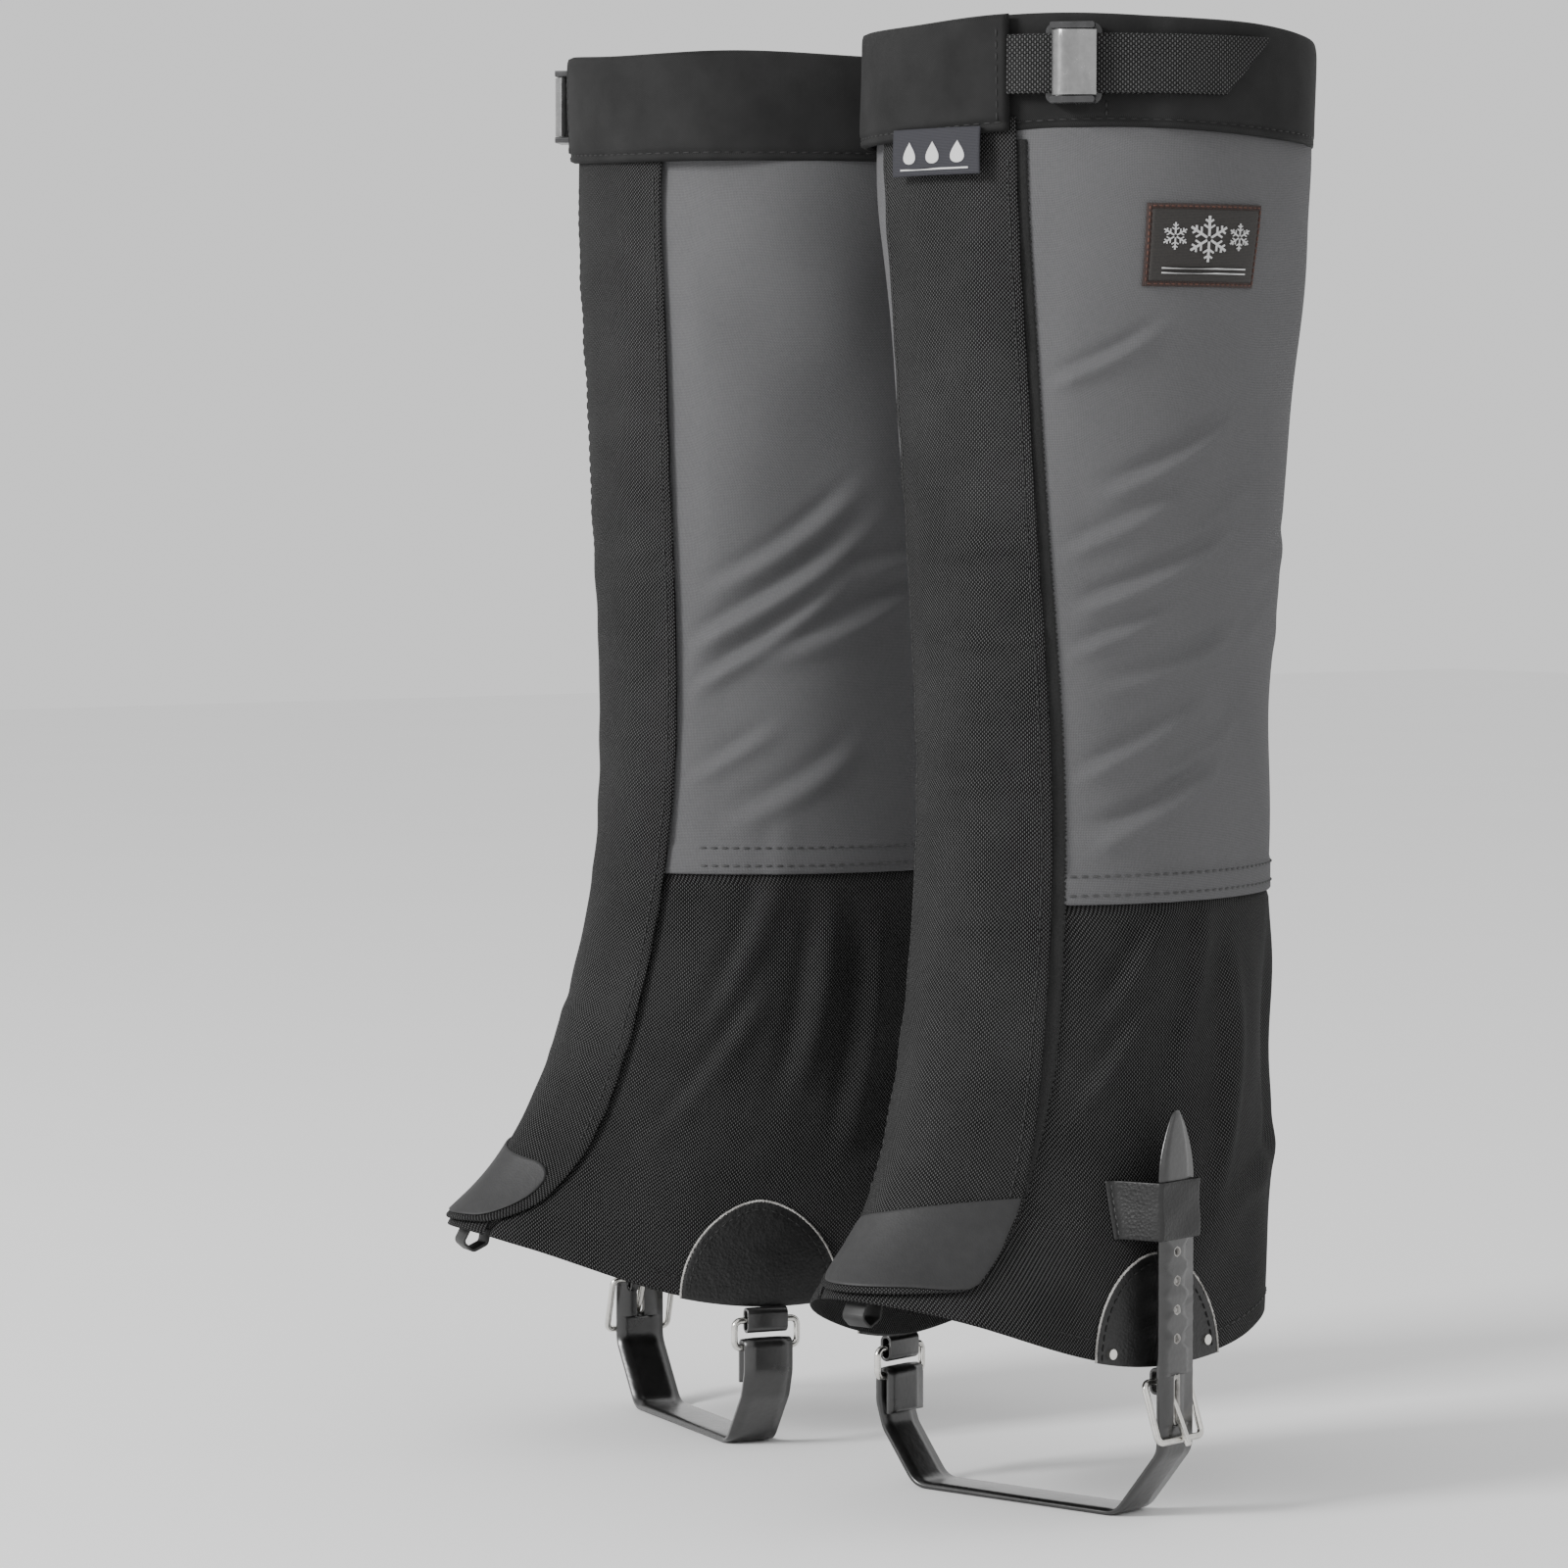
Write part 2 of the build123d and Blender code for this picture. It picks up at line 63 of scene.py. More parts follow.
def to_frame(points, side):
    """Points of the left gaiter's own frame, placed in the pair's frame on either side."""
    points = np.asarray(points, float).reshape(-1, 3)
    turn_cos, turn_sin = math.cos(TOE_OUT), math.sin(TOE_OUT)
    x = points[:, 0] * turn_cos - points[:, 1] * turn_sin + LEG_AXIS[0]
    y = points[:, 0] * turn_sin + points[:, 1] * turn_cos + LEG_AXIS[1]
    if side == "right":
        x = -x
    return np.stack([x, y, points[:, 2]], axis=1)


def to_own(points):
    """Points of the pair's frame in the left gaiter's own frame."""
    points = np.asarray(points, float).reshape(-1, 3)
    turn_cos, turn_sin = math.cos(TOE_OUT), math.sin(TOE_OUT)
    x = points[:, 0] - LEG_AXIS[0]
    y = points[:, 1] - LEG_AXIS[1]
    return np.stack([x * turn_cos + y * turn_sin, y * turn_cos - x * turn_sin, points[:, 2]], axis=1)


def cad_points(node):
    """A CAD node's vertices in the left gaiter's own frame."""
    return to_own([v.co for v in frame["nodes"][node].data.vertices])


# ---------------------------------------------------------------- the leg's surface, from the CAD
ANGLES = 360
LEVEL_STEP = 0.002


def leg_tree():
    """A ray-casting tree of the two CAD panels, in the left gaiter's own frame."""
    points, faces = [], []
    for node in ("left_upper_panel", "left_lower_panel"):
        start = len(points)
        points += [Vector(p) for p in cad_points(node)]
        faces += [[start + i for i in face.vertices] for face in frame["nodes"][node].data.polygons]
    return BVHTree.FromPolygons(points, faces)


def measured_leg():
    """The heights, and the outer radius by height and angle."""
    tree = leg_tree()
    top = max(cad_points("left_upper_panel")[:, 2])
    reach = 0.4
    heights = np.arange(0.05, top, LEVEL_STEP)
    turns = np.linspace(0, 2 * math.pi, ANGLES, endpoint=False)
    radius = np.full((len(heights), ANGLES), np.nan)
    for column, turn in enumerate(turns):
        out = Vector((math.sin(turn), -math.cos(turn), 0))
        for row in range(len(heights) - 1, -1, -1):
            start = out * reach + Vector((0, 0, heights[row]))
            hit = tree.ray_cast(start, -out, reach)
            if hit[0] is None:
                continue
            radius[row, column] = reach - hit[3]
    for column in range(ANGLES):
        known = ~np.isnan(radius[:, column])
        if known.sum() >= 10:
            radius[:, column] = np.interp(heights, heights[known], radius[known, column])
    good = ~np.isnan(radius[0])
    for row in range(len(heights)):
        radius[row] = np.interp(turns, turns[good], radius[row, good], period=2 * math.pi)
    return heights, radius


def smoothed(values, reach, axis):
    """A running weighted mean over a few neighbours; wraps round on axis 1."""
    weights = np.exp(-0.5 * (np.arange(-3 * reach, 3 * reach + 1) / reach) ** 2)
    weights /= weights.sum()
    mode = "wrap" if axis == 1 else "edge"
    pad = [(0, 0)] * values.ndim
    pad[axis if values.ndim > 1 else 0] = (3 * reach, 3 * reach)
    padded = np.pad(values, pad, mode=mode)
    return np.apply_along_axis(lambda line: np.convolve(line, weights, "valid"),
                               axis if values.ndim > 1 else 0, padded)


HEIGHTS, RADIUS = measured_leg()
RADIUS = smoothed(smoothed(RADIUS, 2, 1), 2, 0)
PANEL_TOP = HEIGHTS[-1]


def leg_radius(turn, height):
    """The cloth's outer radius at an angle from the front towards lateral and a height."""
    row = np.clip((height - HEIGHTS[0]) / LEVEL_STEP, 0, len(HEIGHTS) - 1.001)
    column = (turn / (2 * math.pi) * ANGLES) % ANGLES
    r0, c0 = np.floor(row).astype(int), np.floor(column).astype(int)
    fr, fc = row - r0, column - c0
    c1 = (c0 + 1) % ANGLES
    low = RADIUS[r0, c0 % ANGLES] * (1 - fc) + RADIUS[r0, c1] * fc
    high = RADIUS[r0 + 1, c0 % ANGLES] * (1 - fc) + RADIUS[r0 + 1, c1] * fc
    return low * (1 - fr) + high * fr


HEM_Y = (-0.142, -0.118, -0.070, -0.030, 0.020, 0.075)
HEM_Z = (0.082, 0.076, 0.057, 0.054, 0.058, 0.061)
HEM_CURVE = np.polynomial.Polynomial.fit(HEM_Y, HEM_Z, 4)


def hem_height(turn):
    """The cloth's bottom edge: low under the ankle, higher at the toe and the heel."""
    height = np.full_like(turn, 0.06)
    for _ in range(8):
        height = 0.5 * height + 0.5 * HEM_CURVE(-leg_radius(turn, height) * np.cos(turn))
    return height


def around(turn, radius, height):
    """Points by their angle from the front, distance from the leg's axis and height."""
    return np.stack([radius * np.sin(turn), -radius * np.cos(turn), height], axis=-1)


def on_leg(turn, height, growth):
    """A point of the leg's surface, grown outwards."""
    return around(turn, leg_radius(turn, height) + growth, height + 0 * turn)


def turn_at_x(x, height):
    """The angle at which the front of the leg has this x."""
    turn = np.arcsin(np.clip(x / leg_radius(0 * x, height), -0.95, 0.95))
    for _ in range(24):
        turn = 0.5 * turn + 0.5 * np.arcsin(np.clip(x / leg_radius(turn, height), -0.97, 0.97))
    return turn


def turn_at_y(y, height, side_sign):
    """The angle at which the lateral (+1) or medial (-1) flank of the leg has this y."""
    turn = np.full_like(y, side_sign * math.pi / 2)
    for _ in range(40):
        target = side_sign * np.arccos(np.clip(-y / leg_radius(turn, height), -0.97, 0.97))
        turn = 0.6 * turn + 0.4 * target
    return turn


# ---------------------------------------------------------------- mesh helpers
def new_piece(name, points, faces, side, uvs=None, smooth=True):
    """A mesh object from points of the left gaiter's own frame; uvs are metres along the cloth."""
    mesh = bpy.data.meshes.new(name)
    order = [face[::-1] for face in faces] if side == "right" else faces
    corners = [tuple(int(i) for i in face) for face in order]
    mesh.from_pydata([tuple(p) for p in to_frame(points, side)], [], corners)
    if uvs is not None:
        layer = mesh.uv_layers.new(name="cloth")
        corner = np.empty(len(mesh.loops), dtype=np.int64)
        mesh.loops.foreach_get("vertex_index", corner)
        layer.data.foreach_set("uv", np.asarray(uvs, float)[corner].ravel())
    mesh.polygons.foreach_set("use_smooth", [smooth] * len(mesh.polygons))
    mesh.update()
    piece = bpy.data.objects.new(name, mesh)
    bpy.context.scene.collection.objects.link(piece)
    return piece


def cloth_lengths(grid, anchor):
    """Lengths across and along a grid of points, in metres; across counts from the anchor column."""
    step_across = np.linalg.norm(np.diff(grid, axis=1), axis=2)
    step_along = np.linalg.norm(np.diff(grid, axis=0), axis=2)
    across = np.pad(np.cumsum(step_across, axis=1), ((0, 0), (1, 0)))
    along = np.pad(np.cumsum(step_along, axis=0), ((1, 0), (0, 0)))
    column = int(round(anchor * (grid.shape[1] - 1)))
    across = across - across[:, column:column + 1]
    along = along[:, column:column + 1] * 0.5 + along * 0.5
    return np.stack([across.ravel(), along.ravel()], axis=1)


def slab(across, along, place, inner, outer, anchor=0.5):
    """A sheet with thickness and rounded rims: outer and inner skins over a grid of fractions.

    place(a, b, growth) gives points. Returns points, faces and lengths along the cloth.
    """
    a, b = np.meshgrid(across, along)
    rows, columns = a.shape
    middle, half = (inner + outer) / 2, (outer - inner) / 2
    edge = np.ones_like(a)
    edge[:, 0] = edge[:, -1] = edge[0, :] = edge[-1, :] = 0.3
    outer_grid = place(a, b, middle + half * edge)
    inner_grid = place(a, b, middle - half * edge)
    points = np.concatenate([outer_grid.reshape(-1, 3), inner_grid.reshape(-1, 3)])
    index = np.arange(rows * columns).reshape(rows, columns)
    quads = np.stack([index[:-1, :-1], index[:-1, 1:], index[1:, 1:], index[1:, :-1]], axis=-1)
    quads = quads.reshape(-1, 4)
    back = quads[:, ::-1] + rows * columns
    loop = np.concatenate([index[0, :], index[1:, -1], index[-1, -2::-1], index[-2:0:-1, 0]])
    following = np.roll(loop, -1)
    rim = np.stack([loop, loop + rows * columns, following + rows * columns, following], axis=-1)
    faces = np.concatenate([quads, back, rim])
    lengths = cloth_lengths(outer_grid, anchor)
    return points, faces, np.concatenate([lengths, lengths])


def finish_piece(piece, body, slot, material, replaced=()):
    """Rides a piece on its body, gives it a finish and hides the CAD parts it replaces."""
    piece.data.materials.clear()
    piece.data.materials.append(material)
    if body is not None:
        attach(piece, body)
    if replaced:
        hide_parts(*replaced)
    return piece


def sheet(name, side, grid, place, skins, finish, replaced=(), anchor=0.5):
    """A sheet of cloth or leather: grid fractions, (inner, outer) skins and (body, slot, material); the slot
    is not used.
    """
    points, faces, lengths = slab(*grid, place, *skins, anchor)
    piece = new_piece(name, points, faces, side, lengths)
    return finish_piece(piece, *finish, replaced)


# ---------------------------------------------------------------- driving places on one gaiter
COLLAR_LOW, COLLAR_HIGH = 0.472, 0.511
TAB_TIP = 0.084
MEDIAL_EDGE = (-0.038, -0.024)
LATERAL_EDGE = (0.0225, 0.032)
STRAP_Y = -0.035


def smooth_step(value, low, high):
    """0 below low and 1 above high, with a soft change between."""
    share = np.clip((value - low) / (high - low), 0, 1)
    return share * share * (3 - 2 * share)


def flap_edge(height, edge):
    """The x of one of the flap's edges, given at the collar and at the tab's tip."""
    share = (height - TAB_TIP) / (COLLAR_LOW - TAB_TIP)
    return edge[0] * share + edge[1] * (1 - share)


# ---------------------------------------------------------------- folds in the cloth
def ridge(distance, width):
    """A soft crease: a crest with a shallow trough beside it."""
    share = distance / width
    return np.exp(-share ** 2) - 0.55 * np.exp(-((share - 1.5) / 0.9) ** 2)


FOLD_GAIN = 1.45
FOLD_SHARPNESS = 0.55
FOLDS = {
    # turn in degrees, height, length, rise of the crease towards lateral in degrees, width, depth (mm)
    "left": (
        (38, 394, 46, 24, 5, 1.5), (64, 362, 52, 28, 6, 1.9), (45, 338, 50, 25, 6, 1.3),
        (60, 322, 64, 24, 6, 2.2), (82, 342, 40, 34, 7, 0.8), (40, 300, 50, 20, 5, 1.4),
        (70, 292, 56, 20, 6, 1.5), (50, 262, 60, 26, 6, 1.6), (64, 242, 60, 28, 7, 2.4),
        (84, 262, 40, 26, 6, 1.0), (40, 236, 40, 16, 5, 1.0), (104, 300, 60, 24, 8, 0.5),
        (140, 330, 70, 18, 9, 0.5), (175, 290, 70, -14, 9, 1.0), (205, 320, 80, -22, 9, 1.6),
        (240, 285, 80, -26, 8, 1.8), (275, 330, 70, -28, 8, 1.6), (300, 270, 60, -24, 7, 1.6),
    ),
    "right": (
        (-52, 305, 96, -30, 7, 2.2), (-48, 288, 84, -32, 6, 1.8), (-66, 330, 60, -34, 7, 1.4),
        (-40, 250, 46, -28, 6, 1.0), (-70, 240, 50, -30, 8, 1.2), (-90, 300, 70, -24, 8, 1.4),
        (-130, 330, 80, -18, 9, 1.6), (-165, 290, 90, 14, 9, 1.8), (120, 320, 80, 22, 9, 1.6),
        (80, 285, 70, 26, 8, 1.8), (60, 330, 70, 28, 8, 1.6), (45, 260, 60, 24, 7, 1.4),
    ),
}
LOW_FOLDS = {
    "left": (
        (58, 196, 60, 60, 8, 1.4), (80, 180, 70, 75, 9, 1.5), (40, 150, 50, 50, 7, 1.3),
        (100, 150, 80, 80, 10, 1.8), (66, 120, 50, 30, 8, 1.0), (150, 150, 90, 85, 11, 2.0),
        (200, 160, 90, -80, 11, 2.0), (250, 150, 80, -70, 10, 1.8), (290, 170, 70, -60, 9, 1.6),
        (318, 130, 50, -50, 8, 1.3), (125, 110, 60, 20, 9, 1.2), (225, 110, 60, -20, 9, 1.2),
    ),
    "right": (
        (-56, 190, 70, -70, 9, 1.4), (-78, 160, 80, -78, 10, 1.8), (-44, 140, 60, -58, 8, 1.6),
        (-62, 116, 50, -62, 8, 1.4), (-100, 150, 80, -80, 10, 1.8), (-150, 150, 90, -85, 11, 2.0),
        (160, 160, 90, -80, 11, 2.0), (110, 150, 80, -70, 10, 1.8), (70, 170, 70, -60, 9, 1.6),
        (45, 130, 50, -50, 8, 1.3), (-125, 110, 60, -20, 9, 1.2), (125, 110, 60, -20, 9, 1.2),
    ),
}


def fold_growth(turn, height, folds):
    """How far the creases push the cloth out at each point, in metres."""
    growth = np.zeros_like(turn + height)
    for fold_turn, fold_height, length, rise, width, depth in folds:
        away = np.angle(np.exp(1j * (turn - math.radians(fold_turn))))
        x = away * leg_radius(turn, height + 0 * turn) * 1000
        z = height * 1000 - fold_height
        slope = math.radians(rise)
        along = x * math.cos(slope) + z * math.sin(slope)
        beside = -x * math.sin(slope) + z * math.cos(slope)
        bow = beside - along ** 2 / (6 * length)
        reach = np.exp(-(along / (length * 0.5)) ** 4)
        growth += FOLD_GAIN * depth * reach * ridge(bow, width * FOLD_SHARPNESS) * MM
    return growth


WAVE_COUNT = 14


def slow_waves(turn, height, seed, size):
    """Broad, shallow unevenness of hanging cloth."""
    generator = np.random.default_rng(seed)
    growth = np.zeros_like(turn + height)
    for _ in range(WAVE_COUNT):
        round_count = generator.integers(2, 8)
        up_count = generator.uniform(6, 34)
        phase = generator.uniform(0, 2 * math.pi, 2)
        growth += np.sin(round_count * turn + phase[0]) * np.sin(up_count * height * math.pi + phase[1])
    return growth * size / WAVE_COUNT ** 0.5


SEAM = max(cad_points("left_lower_panel")[:, 2])
WAVE_SIZE = 0.0009
WAVE_SEEDS = {"left": 4, "right": 9}
CALM_PAST_LATERAL, CALM_PAST_MEDIAL = 0.0045, 0.002


def cloth_growth(turn, height, side):
    """Folds and waves of the panels, calm near the collar, the seam, the flap's edges and the strap's foot.
    """
    calm_top = np.clip((PANEL_TOP - height) / 0.03, 0, 1)
    calm_seam = 1 - 0.75 * np.exp(-((height - SEAM - 0.004) / 0.012) ** 2)
    front = np.abs(np.angle(np.exp(1j * turn)))
    x = leg_radius(turn, height) * np.sin(turn)
    past_lateral = x - flap_edge(height, LATERAL_EDGE) - CALM_PAST_LATERAL
    past_medial = flap_edge(height, MEDIAL_EDGE) - CALM_PAST_MEDIAL - x
    beyond = np.maximum(past_lateral, past_medial)
    calm_front = np.where(front > math.radians(90), 1, np.clip(beyond / 0.008, 0, 1))
    strap_turn = math.radians(58)
    near_strap = np.exp(-((front - strap_turn) / math.radians(24)) ** 4)
    calm_strap = 1 - 0.9 * near_strap * np.clip((0.15 - height) / 0.02, 0, 1)
    creases = fold_growth(turn, height, FOLDS[side]) + fold_growth(turn, height, LOW_FOLDS[side])
    waves = slow_waves(turn, height, WAVE_SEEDS[side], WAVE_SIZE)
    return (creases + waves) * calm_top * calm_seam * calm_front * calm_strap


# ---------------------------------------------------------------- materials
def grey(level):
    return (level, level, level)


def new_material(name):
    material = bpy.data.materials.new(name)
    material.use_nodes = True
    nodes = material.node_tree.nodes
    return material, nodes, material.node_tree.links, nodes["Principled BSDF"]


def math_node(nodes, links, operation, first, second=None):
    node = nodes.new("ShaderNodeMath")
    node.operation = operation
    for socket, value in zip(node.inputs, (first, second)):
        if value is None:
            continue
        if isinstance(value, (int, float)):
            socket.default_value = value
        else:
            links.new(value, socket)
    return node.outputs[0]


def cloth_axes(nodes, links):
    """Metres across and along the cloth."""
    uv = nodes.new("ShaderNodeUVMap")
    uv.uv_map = "cloth"
    parts = nodes.new("ShaderNodeSeparateXYZ")
    links.new(uv.outputs[0], parts.inputs[0])
    return uv.outputs[0], parts.outputs[0], parts.outputs[1]


def noise(nodes, links, scale, detail=4, coordinates=None, roughness=0.6):
    """Noise by the object's own place, in metres."""
    if coordinates is None:
        coordinates = nodes.new("ShaderNodeTexCoord").outputs["Object"]
    texture = nodes.new("ShaderNodeTexNoise")
    texture.inputs["Scale"].default_value = scale
    texture.inputs["Detail"].default_value = detail
    texture.inputs["Roughness"].default_value = roughness
    links.new(coordinates, texture.inputs["Vector"])
    return texture.outputs["Fac"]


def two_colours(nodes, links, factor, dark, light, low=0.0, high=1.0):
    ramp = nodes.new("ShaderNodeValToRGB")
    ramp.color_ramp.elements[0].position = low
    ramp.color_ramp.elements[1].position = high
    ramp.color_ramp.elements[0].color = (*dark, 1)
    ramp.color_ramp.elements[1].color = (*light, 1)
    links.new(factor, ramp.inputs[0])
    return ramp.outputs[0]


def varied_roughness(nodes, links, shader, value, at_low, at_high):
    """Roughness that follows a texture from one level to another."""
    rough = nodes.new("ShaderNodeMapRange")
    rough.inputs["To Min"].default_value = at_low
    rough.inputs["To Max"].default_value = at_high
    links.new(value, rough.inputs["Value"])
    links.new(rough.outputs[0], shader.inputs["Roughness"])


def bumped(nodes, links, shader, height, distance, strength=1.0):
    bump = nodes.new("ShaderNodeBump")
    bump.inputs["Strength"].default_value = strength
    bump.inputs["Distance"].default_value = distance
    links.new(height, bump.inputs["Height"])
    links.new(bump.outputs[0], shader.inputs["Normal"])


def yarn_height(nodes, links, axis, pitch):
    """Half a wave across each yarn."""
    turn = math_node(nodes, links, "MULTIPLY", axis, math.pi / pitch)
    wave = math_node(nodes, links, "SINE", turn)
    return math_node(nodes, links, "ABSOLUTE", wave)


def plain_weave(nodes, links, pitch, weft_share):
    """Height of a plain weave: warp over weft in turn, the weft lying lower by its share."""
    uv, across, along = cloth_axes(nodes, links)
    warp = yarn_height(nodes, links, across, pitch)
    weft = yarn_height(nodes, links, along, pitch)
    checker = nodes.new("ShaderNodeTexChecker")
    checker.inputs["Scale"].default_value = 1 / pitch
    links.new(uv, checker.inputs["Vector"])
    over = math_node(nodes, links, "MULTIPLY", warp, checker.outputs["Fac"])
    under = math_node(nodes, links, "SUBTRACT", 1.0, checker.outputs["Fac"])
    lower = math_node(nodes, links, "MULTIPLY", weft, weft_share)
    other = math_node(nodes, links, "MULTIPLY", lower, under)
    return math_node(nodes, links, "ADD", over, other)


def woven(name, dark, light, pitch, depth, roughness, speck, weft_share=1.0, onset=0.25):
    """Woven cloth: yarns as bump and as colour, with painted highlights on the raised yarns and painted shade
    between them, fine light specks that are partly irregular yarns and partly painted fuzz highlights, and
    broad patchy tone.
    """
    material, nodes, links, shader = new_material(name)
    height = plain_weave(nodes, links, pitch, weft_share)
    fine = noise(nodes, links, 900, 2)
    broad = noise(nodes, links, 22, 4)
    uneven_and_fuzz_highlight = math_node(nodes, links, "MULTIPLY", fine, speck)
    yarn = math_node(nodes, links, "MULTIPLY", height, 1 - speck)
    mixed = math_node(nodes, links, "ADD", yarn, uneven_and_fuzz_highlight)
    patchy = math_node(nodes, links, "MULTIPLY", broad, 0.25)
    tone = math_node(nodes, links, "ADD", mixed, patchy)
    # The colour follows the yarn height: painted highlights on the raised yarns and painted shade in the
    # hollows between them; the fine specks are partly painted fuzz highlights.
    links.new(two_colours(nodes, links, tone, dark, light, onset, 1.0), shader.inputs["Base Color"])
    varied_roughness(nodes, links, shader, mixed, roughness + 0.1, roughness - 0.1)
    shader.inputs["Specular IOR Level"].default_value = 0.1
    bumped(nodes, links, shader, mixed, depth, 0.8)
    return material


def ribbed(name, dark, light, pitch, depth, roughness, lengthwise=True):
    """Webbing: ribs along its length, crossed by fine picks."""
    material, nodes, links, shader = new_material(name)
    _, across, along = cloth_axes(nodes, links)
    ribs = yarn_height(nodes, links, along if lengthwise else across, pitch)
    picks = yarn_height(nodes, links, across if lengthwise else along, pitch * 0.7)
    soft = math_node(nodes, links, "MULTIPLY", picks, 0.35)
    height = math_node(nodes, links, "ADD", ribs, soft)
    fuzz = noise(nodes, links, 1200, 2)
    tone = math_node(nodes, links, "MULTIPLY", height, fuzz)
    # The colour follows the rib height: painted highlights on the ribs and painted shade between them, varied
    # by fine noise.
    links.new(two_colours(nodes, links, tone, dark, light, 0.1, 0.8), shader.inputs["Base Color"])
    shader.inputs["Roughness"].default_value = roughness
    shader.inputs["Sheen Weight"].default_value = 0.02
    bumped(nodes, links, shader, height, depth, 0.9)
    return material


def twill(name, dark, light, pitch, depth):
    """Smooth twill: fine diagonal lines."""
    material, nodes, links, shader = new_material(name)
    _, across, along = cloth_axes(nodes, links)
    diagonal = math_node(nodes, links, "ADD", across, along)
    lines = yarn_height(nodes, links, diagonal, pitch)
    yarns = yarn_height(nodes, links, across, pitch * 0.6)
    soft = math_node(nodes, links, "MULTIPLY", yarns, 0.3)
    height = math_node(nodes, links, "ADD", lines, soft)
    broad = noise(nodes, links, 40, 5)
    tone = math_node(nodes, links, "MULTIPLY", height, broad)
    # The colour follows the line height: painted highlights on the diagonal lines and painted shade between
    # them, varied by broad noise.
    links.new(two_colours(nodes, links, tone, dark, light, 0.1, 0.9), shader.inputs["Base Color"])
    shader.inputs["Roughness"].default_value = 0.72
    shader.inputs["Specular IOR Level"].default_value = 0.15
    bumped(nodes, links, shader, height, depth, 0.7)
    return material


def grained(name, dark, light, roughness, grain, depth, coat=0.0):
    """Leather, coated strap or rubber: fine pebbled grain and broad variation."""
    material, nodes, links, shader = new_material(name)
    cells = nodes.new("ShaderNodeTexVoronoi")
    cells.inputs["Scale"].default_value = grain
    coordinates = nodes.new("ShaderNodeTexCoord").outputs["Object"]
    links.new(coordinates, cells.inputs["Vector"])
    broad = noise(nodes, links, 60, 6)
    scuffs = noise(nodes, links, 320, 5)
    tone = math_node(nodes, links, "MULTIPLY", broad, scuffs)
    links.new(two_colours(nodes, links, tone, dark, light, 0.12, 0.45), shader.inputs["Base Color"])
    varied_roughness(nodes, links, shader, broad, roughness - 0.12, roughness + 0.14)
    shader.inputs["Coat Weight"].default_value = coat
    shader.inputs["Coat Roughness"].default_value = 0.25
    height = math_node(nodes, links, "ADD", cells.outputs["Distance"], scuffs)
    bumped(nodes, links, shader, height, depth, 0.6)
    return material


def moulded(name, colour, roughness, metallic=0.0, scratch=0.06):
    """Moulded plastic or plated metal with faint handling marks."""
    material, nodes, links, shader = new_material(name)
    marks = noise(nodes, links, 240, 6, roughness=0.7)
    lighter = tuple(min(1.0, c * 1.25 + 0.01) for c in colour)
    links.new(two_colours(nodes, links, marks, colour, lighter, 0.35, 0.7), shader.inputs["Base Color"])
    varied_roughness(nodes, links, shader, marks, roughness, roughness + scratch * 2)
    shader.inputs["Metallic"].default_value = metallic
    bumped(nodes, links, shader, marks, 0.00004, 0.5)
    return material


def fuzzy(name, dark, light):
    """Hook-and-loop pile."""
    material, nodes, links, shader = new_material(name)
    pile = noise(nodes, links, 1500, 6, roughness=0.8)
    links.new(two_colours(nodes, links, pile, dark, light, 0.35, 0.75), shader.inputs["Base Color"])
    shader.inputs["Roughness"].default_value = 0.95
    shader.inputs["Sheen Weight"].default_value = 0.05
    bumped(nodes, links, shader, pile, 0.0008, 1.0)
    return material


GREY_CLOTH = woven("grey_ripstop", (0.062, 0.062, 0.0645), (0.128, 0.1275, 0.131),
                   pitch=0.00055, depth=0.00016, roughness=0.78, speck=0.3)
BLACK_CLOTH = woven("black_cordura", grey(0.0004), grey(0.085), pitch=0.0007,
                    depth=0.0005, roughness=0.8, speck=0.18, weft_share=0.4, onset=0.45)
COLLAR_CLOTH = twill("black_twill", grey(0.006), grey(0.03), 0.0007, 0.00012)
WEBBING_CLOTH = woven("black_webbing", grey(0.001), grey(0.085), pitch=0.0009,
                      depth=0.0005, roughness=0.7, speck=0.2, weft_share=0.4, onset=0.4)
LABEL_CLOTH = ribbed("label_navy", (0.003, 0.003, 0.007), (0.008, 0.008, 0.016), 0.0005, 0.0001, 0.6)
LABEL_DARK = ribbed("label_dark", (0.006, 0.005, 0.0045), (0.022, 0.018, 0.015), 0.0005, 0.0001, 0.6)
THREAD_BROWN = grained("thread_brown", (0.05, 0.018, 0.012), (0.11, 0.045, 0.03), 0.7, 3000, 0.0001)
LABEL_BROWN = ribbed("label_brown", (0.012, 0.006, 0.005), (0.045, 0.02, 0.015), 0.0006, 0.0002, 0.7,
                     lengthwise=False)
THREAD_WHITE = ribbed("thread_white", grey(0.5), (0.85, 0.85, 0.86), 0.0004, 0.0001, 0.6)
THREAD_BLACK = grained("thread_black", grey(0.002), grey(0.012), 0.6, 3000, 0.0001)
THREAD_GREY = grained("thread_grey", (0.03, 0.03, 0.031), grey(0.06), 0.6, 3000, 0.0001)
TOE_RUBBER = grained("toe_rubber", (0.013, 0.013, 0.0135), (0.022, 0.022, 0.0225), 0.62, 1400, 0.00008)
PATCH_LEATHER = grained("patch_leather", grey(0.002), grey(0.01), 0.42, 900, 0.0002)
STRAP_LEATHER = grained("strap_leather", grey(0.002), (0.012, 0.0115, 0.0115), 0.3, 500, 0.0001,
                        coat=0.8)
